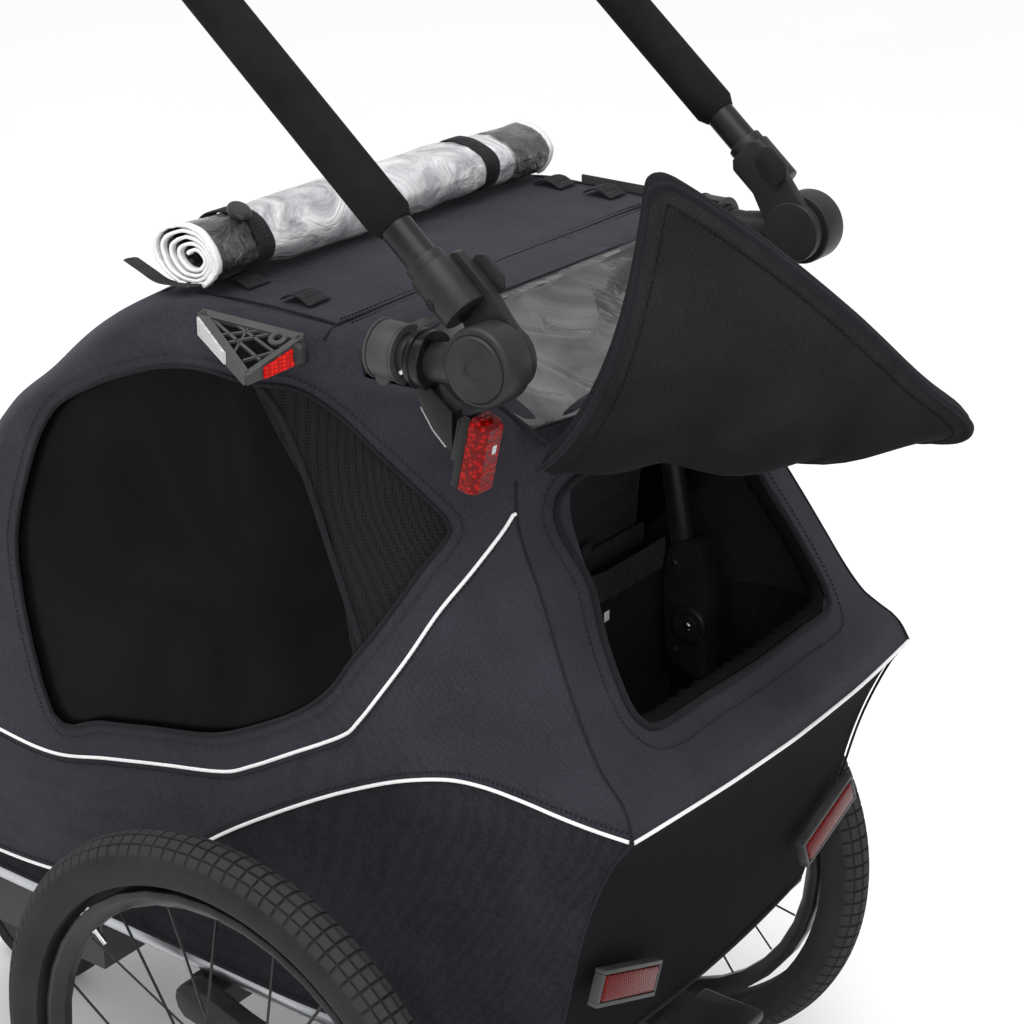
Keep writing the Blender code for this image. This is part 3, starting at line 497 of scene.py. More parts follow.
def block_into(bm, low, high, turn, edge, segments=2):
    """A box with rounded edges, turned by a matrix."""
    low, high = Vector(low), Vector(high)
    size = high - low
    made = bmesh.ops.create_cube(bm, size=1.0)["verts"]
    bmesh.ops.scale(bm, vec=size, verts=made)
    bmesh.ops.translate(bm, vec=(low + high) / 2, verts=made)
    edges = list({e for v in made for e in v.link_edges})
    made = bmesh.ops.bevel(
        bm, geom=edges, offset=edge, segments=segments, profile=0.5, affect="EDGES", clamp_overlap=True
    )["verts"] + [v for v in made if v.is_valid]
    bmesh.ops.transform(bm, matrix=turn, verts=list(set(made)))


def plate_into(bm, outline, low, high, axis="Y", edge=0.0):
    """An outline with a thickness along X, Y or Z."""
    low, high = sorted((low, high))

    def spot(p, q, depth):
        return {"X": (depth, p, q), "Y": (p, depth, q), "Z": (p, q, depth)}[axis]

    face = bm.faces.new([bm.verts.new(spot(p, q, low)) for p, q in outline])
    made = bmesh.ops.extrude_face_region(bm, geom=[face])["geom"]
    moved = [v for v in made if isinstance(v, bmesh.types.BMVert)]
    shift = Vector(spot(0, 0, high - low))
    bmesh.ops.translate(bm, vec=shift, verts=moved)
    everything = list(face.verts) + moved if face.is_valid else moved
    faces = {f for v in everything for f in v.link_faces}
    bmesh.ops.recalc_face_normals(bm, faces=list(faces))
    if edge:
        edges = {e for v in everything for e in v.link_edges}
        bmesh.ops.bevel(bm, geom=list(edges), offset=edge, segments=2, profile=0.5, affect="EDGES")


def smooth(points, steps=6, closed=False):
    """Points on a smooth curve through these points."""
    points = [Vector(p) for p in points]
    count = len(points)
    spans = count if closed else count - 1
    made = []
    for i in range(spans):
        near = [i - 1, i, i + 1, i + 2]
        a, b, c, d = (points[k % count] if closed else points[min(max(k, 0), count - 1)] for k in near)
        for k in range(steps):
            t = k / steps
            made.append(0.5 * (2 * b + (c - a) * t + (2 * a - 5 * b + 4 * c - d) * t * t
                               + (3 * b - a - 3 * c + d) * t ** 3))
    if not closed:
        made.append(points[-1])
    return made


def evened(points, step, closed=False):
    """Points a fixed step apart along a line."""
    line = [Vector(p) for p in points]
    if closed:
        line.append(line[0])
    lengths = [0.0]
    for a, b in zip(line, line[1:]):
        lengths.append(lengths[-1] + (b - a).length)
    count = max(2, round(lengths[-1] / step))
    made, at = [], 0
    for i in range(count + (0 if closed else 1)):
        goal = lengths[-1] * i / count
        while at < len(line) - 2 and lengths[at + 1] < goal:
            at += 1
        span = max(1e-9, lengths[at + 1] - lengths[at])
        made.append(line[at].lerp(line[at + 1], min(1.0, max(0.0, (goal - lengths[at]) / span))))
    return made


def stitches_into(bm, points, up, length=0.0026, gap=0.0016, width=0.0007):
    """A row of sewn stitches along a line on a surface that faces up."""
    line = evened(points, length + gap)
    for a, b in zip(line, line[1:]):
        along = (b - a).normalized()
        out = Vector(up).normalized()
        side = along.cross(out).normalized() * (width / 2)
        lift = out * 0.0006
        end = a + along * length
        base = [a - side, a + side, end + side, end - side]
        lower = [bm.verts.new(p - lift) for p in base]
        upper = [bm.verts.new(p + lift + (along * 0.0004 if i < 2 else -along * 0.0004))
                 for i, p in enumerate(base)]
        bm.faces.new(upper)
        for i in range(4):
            j = (i + 1) % 4
            bm.faces.new((lower[i], lower[j], upper[j], upper[i]))


# The cabin's shape
def between(table, z):
    """The cabin's measures at a height, on smooth curves through the table."""
    z = min(max(z, table[0][0]), table[-1][0])
    i = next(k for k in range(len(table) - 1) if z <= table[k + 1][0] + 1e-12)
    low, high = table[i], table[i + 1]
    span = high[0] - low[0]
    t = (z - low[0]) / span
    found = []
    for k in range(1, 6):
        own = (high[k] - low[k]) / span
        before = (low[k] - table[i - 1][k]) / (low[0] - table[i - 1][0]) if i else own
        after = (table[i + 2][k] - high[k]) / (table[i + 2][0] - high[0]) if i + 2 < len(table) else own
        start = 0.0 if own * before <= 0 else 2 * own * before / (own + before)
        end = 0.0 if own * after <= 0 else 2 * own * after / (own + after)
        found.append(
            (2 * t ** 3 - 3 * t * t + 1) * low[k] + (t ** 3 - 2 * t * t + t) * span * start
            + (3 * t * t - 2 * t ** 3) * high[k] + (t ** 3 - t * t) * span * end
        )
    return found


def measures(z):
    return between(LOWER_SLICES if z < SEAM_Z else UPPER_SLICES, z)


def ripple(p):
    """How far the fabric lies off its ideal surface."""
    slow = noise.noise(Vector((p.x * 8, p.y * 8, p.z * 8)))
    fast = noise.noise(Vector((p.x * 26 + 3, p.y * 26, p.z * 20)))
    return 0.0014 * slow + 0.0005 * fast


def side_y(x, z):
    rear, rear_half, front, front_half, side = measures(z)
    corner = min(CORNER, (front - TAPER_X) / 2)
    if x < TAPER_X:
        t = min(1.0, max(0.0, (x - rear) / (TAPER_X - rear)))
        return side - (side - rear_half) * (1 - t) ** 1.6
    t = min(1.0, max(0.0, (x - front + corner) / corner))
    return side - (side - front_half) * t ** 2.2


def rear_x(y, z):
    rear, rear_half, *_ = measures(z)
    bulge = 0.012 if z < SEAM_Z else 0.012 + 0.008 * min(1.0, (z - SEAM_Z) / 0.03)
    t = min(1.0, abs(y) / rear_half)
    return rear - bulge * (1 - t * t)


def front_x(y, z):
    _, _, front, front_half, _ = measures(z)
    t = min(1.0, abs(y) / front_half)
    return front + 0.022 * (1 - t * t)


def half_loop(z):
    """Half of one level of the cabin, from the middle of the rear to the middle of the front."""
    rear, rear_half, front, front_half, side = measures(z)
    loop = [(rear_x(rear_half * t, z), rear_half * t) for t in [i / 14 * 0.985 for i in range(15)]]
    for i in range(31):
        x = rear + (TAPER_X - rear) * (i / 30) ** 1.15
        loop.append((x, side_y(x, z)))
    corner = min(CORNER, (front - TAPER_X) / 2)
    for i in range(1, 20):
        x = TAPER_X + (front - corner - TAPER_X) * i / 19
        loop.append((x, side))
    for i in range(1, 5):
        x = front - corner + corner * i / 5
        loop.append((x, side_y(x, z)))
    loop += [(front_x(front_half * t, z), front_half * t) for t in [1 - i / 10 for i in range(11)]]
    return loop


def levels():
    """Heights from the bottom to the roof, closer where the cabin curves more."""
    made = []
    for low, high, count in ((BASE_Z, SEAM_Z, 28), (SEAM_Z, BULGE_Z, 9), (BULGE_Z, SHOULDER_Z, 26),
                             (SHOULDER_Z, ROOF_Z, 26)):
        made += [low + (high - low) * i / count for i in range(count)]
    return [*made, ROOF_Z]


def whole_loop(z):
    half = half_loop(z)
    return (*half, *((x, -y) for x, y in reversed(half[1:-1])))


def skin(name, inset=0.0, thickness=0.0022):
    """The cabin's closed skin, set in from the outside by inset, open at the bottom."""
    bm = bmesh.new()
    rows = [[Vector((x, y, z)) for x, y in whole_loop(z)] for z in levels()]
    top = rows[-1]
    for i in range(1, 9):
        shrink = 1 - i / 9
        height = ROOF_Z + 0.003 * (1 - shrink * shrink)
        rows.append([Vector((p.x * shrink, p.y * shrink, height)) for p in top])
    made = grid_into(bm, rows, closed_across=True)
    crown = bm.verts.new((0, 0, 0.9152))
    last = made[-1]
    for i in range(len(last)):
        bm.faces.new((last[i], last[(i + 1) % len(last)], crown))
    bmesh.ops.recalc_face_normals(bm, faces=bm.faces)
    bm.normal_update()
    for v in bm.verts:
        v.co += v.normal * (ripple(v.co) - inset)
    obj = object_of(name, bm)
    thicken(obj, thickness)
    return obj


def cutter(outline, low=-0.4, high=0.4, axis="Y"):
    """A prism to carve with, along one axis."""
    bm = bmesh.new()
    plate_into(bm, outline, low, high, axis)
    return object_of("cutter", bm)


def carve(obj, *cuts, keep=None):
    """Keeps what lies inside keep, if it is given, and cuts the cuts away. The cutters are removed."""
    steps = [("INTERSECT", keep)] if keep else []
    steps += [("DIFFERENCE", other) for other in cuts]
    for operation, other in steps:
        modifier = obj.modifiers.new("carve", "BOOLEAN")
        modifier.operation = operation
        modifier.solver = "MANIFOLD"
        modifier.object = other
    graph = bpy.context.evaluated_depsgraph_get()
    data = bpy.data.meshes.new_from_object(obj.evaluated_get(graph))
    obj.modifiers.clear()
    old, obj.data = obj.data, data
    bpy.data.meshes.remove(old)
    for _, other in steps:
        bpy.data.objects.remove(other, do_unlink=True)


def grown(outline, distance):
    """An outline moved outwards by a distance."""
    points = [Vector(p) for p in outline]
    area = sum(a.x * b.y - b.x * a.y for a, b in zip(points, points[1:] + points[:1]))
    turn = 1 if area > 0 else -1
    made = []
    for i, p in enumerate(points):
        a, b = points[i - 1], points[(i + 1) % len(points)]
        first, second = (p - a).normalized(), (b - p).normalized()
        out = Vector((first.y + second.y, -first.x - second.x)).normalized() * turn
        made.append(tuple(p + out * distance / max(0.5, out.dot(Vector((first.y, -first.x)) * turn))))
    return made


def curve2(outline, steps, closed=True):
    """A smooth outline in a plane."""
    return [(p.x, p.y) for p in smooth([(a, b, 0) for a, b in outline], steps, closed)]


def mirrored(p, sign):
    return Vector((p.x, sign * p.y, p.z))


def on_side(x, z, sign, lift=0.0):
    """A point on a side of the cabin, lifted off the fabric."""
    p = Vector((x, side_y(x, z), z))
    p.y += ripple(p) + lift
    return mirrored(p, sign)


def on_rear(y, z, lift):
    p = Vector((rear_x(y, z), y, z))
    p.x -= ripple(p) + lift
    return p


def side_out(sign):
    """Roughly outwards on a side of the cabin."""
    return Vector((-0.15, sign, 0.05))


# Cabin fabric
def lower_region():
    """The outline of the darker lower panels, below the low piping."""
    return [(0.66, 0.33), *PIPING_LOW, (-0.345, 0.5712), (-0.37, 0.5712), (-0.37, 0.26), (0.66, 0.26)]


def tube_hole(sign):
    """A round hole where the handlebar's clamp leaves the cabin."""
    turns = [2 * math.pi * i / 40 for i in range(40)]
    outline = [(sign * BAR_Y + 0.0235 * math.cos(a), CLAMP_Z + 0.0235 * math.sin(a)) for a in turns]
    return cutter(outline, -0.3, -0.094, "X")


def front_cutter(outline):
    return cutter(outline, 0.13, 0.7, "X")


def cabin_fabric():
    upper = skin("cabin_fabric_upper")
    carve(
        upper, cutter(lower_region()), cutter(curve2(WINDOW, 4)), front_cutter(FRONT),
        cutter(TRUNK, -0.45, -0.16, "X"), cutter(FILM, 0.835, 0.95, "Z"), tube_hole(1), tube_hole(-1),
    )
    dress(upper, "fabric", BLEND, ["cabin_cover"])
    lower = skin("cabin_fabric_lower", 0.0004)
    carve(lower, front_cutter(FRONT), keep=cutter(lower_region()))
    dress(lower, "fabric_low", BLEND)


def panel(name, inset, material, replaces, keep):
    """A thin panel of the skin's shape, set in behind an opening."""
    obj = skin(name, inset, 0.0009)
    carve(obj, keep=keep)
    dress(obj, material, BLEND, [replaces])


def side_panels():
    window = curve2(WINDOW, 4)
    mesh = curve2(MESH_CORNER, 4)
    for side, sign in SIDES:
        panel(f"window_{side}", 0.005, "window", f"side_window_{side}",
              cutter(grown(window, 0.008), sign * 0.1, sign * 0.3))
        panel(f"mesh_corner_{side}", 0.0034, "net", f"side_mesh_{side}",
              cutter(mesh, sign * 0.1, sign * 0.3))
        bm = bmesh.new()
        edge = evened([on_side(x, z, sign, 0.0002) for x, z in window], 0.006, closed=True)
        tube_into(bm, edge, 0.0019, 8, closed=True)
        make(f"window_hem_{side}", bm, "hem", BLEND)
        bm = bmesh.new()
        line = smooth([on_side(x, z, sign, -0.003) for x, z in MESH_EDGE], 8)
        tube_into(bm, evened(line, 0.006), 0.0016, 8, wide=2.2, up=(0, sign, 0))
        make(f"mesh_hem_{side}", bm, "hem", BLEND)
        bm = bmesh.new()
        outer = evened([on_side(x, z, sign, 0.0016) for x, z in grown(window, 0.009)], 0.004, closed=True)
        stitches_into(bm, outer + outer[:1], side_out(sign))
        make(f"window_stitches_{side}", bm, "thread", BLEND)


def rear_corner(sign, low, high, lift):
    """Points up the cabin's rear corner."""
    count = round((high - low) / 0.008)
    made = []
    for i in range(count + 1):
        z = low + (high - low) * i / count
        rear, rear_half, *_ = measures(z)
        p = Vector((rear - lift, rear_half + lift * 0.6, z))
        p += Vector((-0.7, 0.7, 0)) * ripple(p)
        made.append(mirrored(p, sign))
    return made


def side_line(outline, sign, steps, lift, short=0.001, drop=0.0):
    """A smooth line on a side of the cabin that ends short of the cabin's front."""
    points = smooth([(x, z + drop, 0) for x, z in outline], steps)
    return [on_side(p.x, p.y, sign, lift) for p in points if p.x < measures(p.y)[2] - short]


def piping():
    bm = bmesh.new()
    for _, sign in SIDES:
        high = side_line(PIPING_HIGH, sign, 8, 0.0005, 0.036) + rear_corner(sign, 0.776, 0.79, 0.001)[:1]
        for line in (high, side_line(PIPING_LOW, sign, 8, 0.0005)):
            tube_into(bm, evened(line, 0.005), 0.0015, 8)
    across = [on_rear(0.209 * i / 20, 0.5712, 0.0011) for i in range(-20, 21)]
    tube_into(bm, evened(across, 0.006), 0.0015, 8)
    make("reflective_piping", bm, "piping", BLEND)


def corner_seams():
    bm = bmesh.new()
    for _, sign in SIDES:
        tube_into(bm, evened(rear_corner(sign, SEAM_Z, SHOULDER_Z, 0.0008), 0.005), 0.0011, 8)
        tube_into(bm, evened(rear_corner(sign, 0.33, SEAM_Z, 0.0008), 0.006), 0.0012, 8)
    for _, sign in SIDES:
        for line, drop in ((PIPING_HIGH, -0.006), (PIPING_LOW, 0.006)):
            stitches_into(bm, side_line(line, sign, 6, 0.001, drop=drop), side_out(sign))
    make("corner_seams", bm, "hem", BLEND)


def trunk_edges():
    outline = curve2(TRUNK, 6)
    edge = evened([on_rear(y, z, 0.0006) for y, z in outline], 0.005, closed=True)
    bm = bmesh.new()
    tube_into(bm, edge, 0.003, 10, closed=True)
    make("trunk_edge", bm, "hem", BLEND)
    bm = bmesh.new()
    outer = evened([on_rear(y, z, 0.0014) for y, z in grown(outline, 0.013)], 0.004, closed=True)
    stitches_into(bm, outer + outer[:1], (-1, 0, 0.4))
    make("trunk_stitches", bm, "thread", BLEND)
    trunk_facing(outline)


def trunk_facing(outline):
    """A pleated band of lining that turns in at the edge of the trunk's opening."""
    rows = []
    outer = evened([on_rear(y, z, -0.004) for y, z in outline], 0.0045, closed=True)
    middle = sum(outer, Vector()) / len(outer)
    for k, (inward, shrink) in enumerate(((0.0, 1.0), (0.005, 0.998), (0.01, 1.002), (0.016, 1.012))):
        row = []
        for i, p in enumerate(outer):
            pleat = 0.0005 * k * math.sin(i * 1.9 + 3 * noise.noise(p * 25))
            q = middle + (p - middle) * shrink
            row.append(q + Vector((inward, 0, 0)) + (p - middle).normalized() * pleat)
        rows.append(row)
    bm = bmesh.new()
    grid_into(bm, rows, closed_across=True)
    make("trunk_facing", bm, "lining", BLEND, thickness=0.001)


def front_screen():
    panel("front_net", 0.0045, "net", "front_screen", front_cutter(grown(FRONT, 0.008)))
    outline = evened([(y, z, 0) for y, z in FRONT], 0.006, closed=True)

    def place(y, z, lift):
        p = Vector((front_x(y, z), y, z))
        p.x += ripple(p) + lift
        return p

    bm = bmesh.new()
    tube_into(bm, [place(p.x, p.y, 0.0004) for p in outline], 0.0022, 8, closed=True)
    make("front_hem", bm, "hem", BLEND)
    bm = bmesh.new()
    for _, sign in SIDES:
        line = [place(sign * 0.15, 0.45 + 0.4 * i / 60, 0.0015) for i in range(61)]
        tube_into(bm, line, 0.0016, 8, wide=2.6, up=(1, 0, 0.5))
    make("front_zips", bm, "webbing", BLEND)


def bottom_hem():
    bm = bmesh.new()
    loop = [Vector((x, y, 0.317)) for x, y in whole_loop(0.318)]
    tube_into(bm, evened(loop, 0.012, closed=True), 0.0024, 8, closed=True)
    make("bottom_hem", bm, "hem", BLEND)


# Roof
def roof_details():
    bm = bmesh.new()
    for x in (-0.06, 0.118):
        line = [roof_point(x, 0.228 * i / 34, 0.0004) for i in range(-34, 35)]
        tube_into(bm, evened(line, 0.006), 0.0013, 8)
    for _, sign in SIDES:
        line = [roof_point(-0.06 + 0.178 * i / 30, sign * 0.213, 0.0004) for i in range(31)]
        tube_into(bm, evened(line, 0.006), 0.0011, 8)
    make("roof_seams", bm, "hem", BLEND)
    bm = bmesh.new()
    for x in (-0.0545, -0.0655):
        line = [roof_point(x, 0.205 * i / 20, 0.0006) for i in range(-20, 21)]
        stitches_into(bm, line, (0, 0, 1))
    make("roof_stitches", bm, "thread", BLEND)
    roof_tab("left_front", 0.062, 0.178)
    roof_tab("left_rear", -0.005, 0.185)
    roof_tab("right_front", 0.04, -0.196)
    roof_tab("right_rear", -0.013, -0.196)


def roof_tab(name, x, y):
    """A short piece of webbing sewn flat at one end and arched at the other, with a ribbed surface."""
    rows = []
    for i in range(29):
        u = i / 28
        ridge = 0.0012 * abs(math.sin(4 * math.pi * u)) ** 0.6
        arch = 0.005 * math.sin(math.pi * min(1.0, 1.12 * (1 - u)))
        rows.append([
            roof_point(x + 0.015 * (u - 0.5) * 2, y + 0.012 * v, 0.0016 + ridge * (1 - v ** 4) + arch)
            for v in (-1, -0.9, -0.5, 0, 0.5, 0.9, 1)
        ])
    bm = bmesh.new()
    grid_into(bm, rows)
    make(f"roof_tab_{name}", bm, "webbing", BLEND, thickness=-0.0012)


def roof_point(x, y, lift=0.0):
    """A point on the roof, which is flat over half its length and falls at its sides and its front."""
    flat = 0.088
    over = max(0.0, abs(y) - (0.214 - 0.01 * min(1.0, abs(x) / flat) ** 2))
    z = 0.9143 - 0.003 * (x / flat) ** 2 * (abs(x) <= flat)
    if x > flat:
        z = ROOF_Z - (x - flat) * 0.28
    z -= over * over * 22
    p = Vector((x, y, z))
    return p + Vector((0, 0, 1)) * (ripple(p) + lift)


def film_panel():
    """The clear film between the roof and the trunk's flap, loose and creased."""
    rows = []
    for i in range(61):
        v = i / 60
        z = 0.9085 - 0.07 * v ** 1.05
        _, half, *_ = measures(z)
        half = min(half - 0.008, 0.206 - 0.06 * v)
        row = []
        for j in range(121):
            u = j / 60 - 1
            p = Vector((rear_x(u * half, z) - 0.0015, u * half, z))
            loose = (1 - u ** 6) * math.sin(math.pi * min(1.0, v * 1.02)) ** 0.6
            fold = abs(noise.noise(Vector((u * 3.1 + 1.3 * v, v * 2.4 - u * 1.2, 0.7))))
            fold += 0.5 * abs(noise.noise(p * 9 * 1.7 + Vector((3, 1, 2))))
            fine = noise.noise(p * 9 * 4.2)
            row.append(p + Vector((-0.72, 0, 0.69)) * loose * (-0.0175 * fold + 0.0008 * fine - 0.002))
        rows.append(row)
    rows.insert(0, [roof_point(-0.098, p.y, -0.003) for p in rows[0]])
    bm = bmesh.new()
    grid_into(bm, rows)
    obj = make("roof_film_panel", bm, "film", BLEND, angle=60, replaces=["roof_film"])
    bm = bmesh.new()
    for _, sign in SIDES:
        line = [(-0.109, 0.197, 0.9055), (-0.131, 0.186, 0.886), (-0.155, 0.166, 0.866),
                (-0.183, 0.152, 0.844), (-0.199, 0.146, 0.83)]
        line = smooth([(x, sign * y, z) for x, y, z in line], 6)
        tube_into(bm, evened(line, 0.005), 0.0022, 8)
    make("film_hem", bm, "hem", BLEND)


# Seat and trunk
def cushion(name, low, high, channels, puff):
    """A padded block with a crowned top and sewn channels at shares of its width."""
    low, high = Vector(low), Vector(high)
    bm = bmesh.new()
    bmesh.ops.create_cube(bm, size=1.0)
    bmesh.ops.subdivide_edges(bm, edges=bm.edges, cuts=15, use_grid_fill=True)
    size, middle = high - low, (high + low) / 2
    for v in bm.verts:
        p = v.co * 2
        pinch = 1 - 0.1 * (p.x * p.x) * (p.y * p.y)
        crown = (1 - p.x ** 4) * (1 - p.y ** 4)
        groove = max((math.exp(-((p.y - c) / 0.05) ** 2) for c in channels), default=0.0)
        z = p.z * (size.z / 2 - puff * 0.5) * (0.72 + 0.28 * crown)
        z += (puff * 0.5) * crown * (1 if p.z > 0 else -0.3) - 0.006 * groove * (p.z > 0.5) * crown
        v.co = Vector((p.x * size.x / 2 * pinch, p.y * size.y / 2 * pinch, z))
        v.co += Vector((0, 0, 0.001 * noise.noise(v.co * 30)))
    bmesh.ops.translate(bm, vec=middle, verts=bm.verts)
    return make(name, bm, "seat", None, angle=80)


def simulate(obj, cap):
    """Fills a cushion with the cloth solver and lets no point move further than cap."""
    frames = 20
    remesh = obj.modifiers.new("remesh", "REMESH")
    remesh.mode = "VOXEL"
    remesh.voxel_size = 0.006
    graph = bpy.context.evaluated_depsgraph_get()
    old, obj.data = obj.data, bpy.data.meshes.new_from_object(obj.evaluated_get(graph))
    obj.modifiers.clear()
    bpy.data.meshes.remove(old)
    obj.data.materials.clear()
    obj.data.materials.append(M["seat"])
    rest = [v.co.copy() for v in obj.data.vertices]
    modifier = obj.modifiers.new("filling", "CLOTH")
    modifier.settings.use_pressure = True
    modifier.settings.uniform_pressure_force = 4.0
    modifier.settings.effector_weights.gravity = 0
    modifier.settings.quality = 5
    modifier.point_cache.frame_end = frames
    for step in range(1, frames + 1):
        bpy.context.scene.frame_set(step)
    graph = bpy.context.evaluated_depsgraph_get()
    puffed = obj.evaluated_get(graph)
    moved = [v.co.copy() for v in puffed.data.vertices]
    obj.modifiers.clear()
    bpy.context.scene.frame_set(1)
    for v, start, end in zip(obj.data.vertices, rest, moved):
        shift = end - start
        if shift.length > cap:
            shift *= cap / shift.length
        v.co = start + shift
    obj.data.update()
    obj.data.shade_smooth()


SEAT_LEAN = Matrix.Translation((-0.0755, 0, 0.37)) @ Matrix.Rotation(math.radians(-4.0), 4, "Y")


def seat():
    pad = cushion("seat_cushion", (-0.064, -0.118, 0.307), (0.224, 0.118, 0.361), (-0.33, 0.33), 0.01)
    simulate(pad, 0.005)
    settle(pad, "chassis", ["seat_pad"])
    rest = cushion("seat_back_pad", (-0.005, -0.131, 0.004), (0.006, 0.131, 0.48), (), 0.0)
    rest.data.transform(TO_FRAME @ SEAT_LEAN @ TO_FRAME.inverted())
    settle(rest, BLEND, ["seat_back"])


def strap_into(bm, points, thickness, wide, face):
    """A flat strap on the seat's back, laid out upright and then leaned."""
    tube_into(bm, [SEAT_LEAN @ Vector(p) for p in points], thickness, 6, wide=wide, up=(face, 0, 0))


def harness():
    bm = bmesh.new()
    shares = [i / 24 for i in range(25)]
    for y in (-0.052, 0.052):
        strap_into(bm, [(0.0095, y * (1 - 0.25 * t), 0.44 - 0.36 * t) for t in shares], 0.0012, 8.0, 1)
    shares = [i / 12 - 1 for i in range(25)]
    strap_into(bm, [(0.0115, 0.12 * t, 0.085 + 0.012 * (1 - t * t)) for t in shares], 0.0012, 8.0, 1)
    make("harness", bm, "webbing", BLEND)
    bm = bmesh.new()
    block_into(bm, (0.01, -0.02, 0.075), (0.022, 0.02, 0.115), SEAT_LEAN, 0.004, 3)
    make("harness_buckle", bm, "plastic", BLEND)
    bm = bmesh.new()
    shares = [i / 20 - 1 for i in range(41)]
    for z, droop in ((0.275, 0.0), (0.215, 0.012)):
        strap_into(bm, [(-0.0105, 0.128 * t, z - droop * (1 - t * t)) for t in shares], 0.0011, 9.0, -1)
    for y in (-0.04, 0.09):
        strap_into(bm, [(-0.0118, y, 0.205 + 0.09 * i / 10) for i in range(11)], 0.001, 8.0, -1)
    make("seat_back_straps", bm, "webbing", BLEND)


def trunk_pocket():
    """The gathered band of a pocket on the seat's back, with a small blank label."""
    line = [(-0.128, 0.01, 0.64), (-0.129, -0.03, 0.634), (-0.13, -0.075, 0.6345), (-0.131, -0.12, 0.636)]
    rows = []
    for k in range(9):
        row = []
        for i, p in enumerate(smooth(line, 10)):
            gather = 0.0016 * math.sin(i * 1.35 + 0.7 * k) * (k / 8)
            row.append(p + Vector((-0.001 + gather, 0, 0.013 - 0.0034 * k)))
        rows.append(row)
    bm = bmesh.new()
    grid_into(bm, rows)
    make("trunk_pocket_band", bm, "webbing", BLEND, angle=80, thickness=0.0012)
    bm = bmesh.new()
    block_into(bm, (-0.1345, -0.035, 0.603), (-0.1338, -0.028, 0.612), Matrix(), 0.0002)
    make("trunk_label", bm, "piping", BLEND)


def trunk_lining():
    rows = []
    for i in range(13):
        z = 0.33 + 0.29 * i / 12
        row = []
        for j in range(25):
            t = j / 12 - 1
            p = Vector((-0.0925 - 0.0285 * (z - 0.37) / 0.48 - 0.004 * (1 - t * t), 0.19 * t, z))
            p.x -= 0.002 * noise.noise(Vector((0, p.y * 20, p.z * 20)))
            row.append(p)
        rows.append(row)
    bm = bmesh.new()
    grid_into(bm, rows)
    make("trunk_lining", bm, "net", "chassis", angle=80, thickness=0.001)


# Trunk flap
# The flap's corners: D and E above the trunk's opening, A the upper one and B the outer one
FLAP_D, FLAP_A = Vector((-0.198, 0.156, 0.814)), Vector((-0.308, 0.18, 1.052))
FLAP_B, FLAP_E = Vector((-0.458, -0.056, 0.837)), Vector((-0.198, -0.156, 0.814))
FLAP_FACE = (FLAP_A - FLAP_D).cross(FLAP_B - FLAP_D).normalized()
if FLAP_FACE.x > 0:
    FLAP_FACE.negate()


def soft_corner(u, v, corner_u, corner_v, r):
    """Pulls a corner of the unit square in to an arc."""
    a, b = 1 - abs(u - corner_u) / r, 1 - abs(v - corner_v) / r
    if a <= 0 or b <= 0:
        return u, v
    k = max(a, b) / math.hypot(a, b)
    return (corner_u + (1 - a * k) * r * (1 if corner_u == 0 else -1),
            corner_v + (1 - b * k) * r * (1 if corner_v == 0 else -1))


def flap_point(u, v):
    """A point of the flap: one half spans D, A and B, the other D, E and B, with a rounded corner at B."""
    u, v = soft_corner(u, v, 0, 1, 0.05)
    bend, tip = 0.82, 0.83
    if v >= u:
        end = u / v if v > 0 else 0.0
        side = 1 - end
        if end > bend:
            k = (end - bend) / (1 - bend)
            side, end = (1 - bend) * (1 - k) ** 2, bend * (1 - k) ** 2 + 2 * k * (1 - k) + tip * k * k
        p = FLAP_D + (FLAP_A - FLAP_D) * (side * v) + (FLAP_B - FLAP_D) * (end * v)
    else:
        p = FLAP_D + (FLAP_E - FLAP_D) * (u - v) + (FLAP_B - FLAP_D) * (tip * v)
    low, wide = min(u, v), abs(u - v)
    near = math.exp(-(wide / 0.26) ** 2)
    sag = max(0.0, 1 - 2.2 * wide) ** 1.3 * math.sin(math.pi * low)
    p = p + Vector((-0.004, 0, -0.012)) * sag
    ends = max(0.0, math.sin(math.pi * min(1.0, low * 1.06)))
    fold = math.sin(19 * low + 2.5 * noise.noise(Vector((low * 3, wide * 2, 1)))) * near * ends
    p += FLAP_FACE * (0.0085 * fold)
    p += Vector((0, 0, -0.006 * math.sin(11 * low + 1.0) * near * ends))
    if v >= u:
        p += FLAP_FACE * (0.029 * math.sin(math.pi * min(1.0, wide ** 0.75 / 0.95)))
    p += Vector((-0.004, 0.002, 0.02)) * (math.sin(math.pi * min(1.0, max(0.0, u) ** 0.85)) * v ** 3)
    p += Vector((-0.01, -0.009, 0.0)) * (math.sin(math.pi * v) * (1 - u) ** 3)
    return p


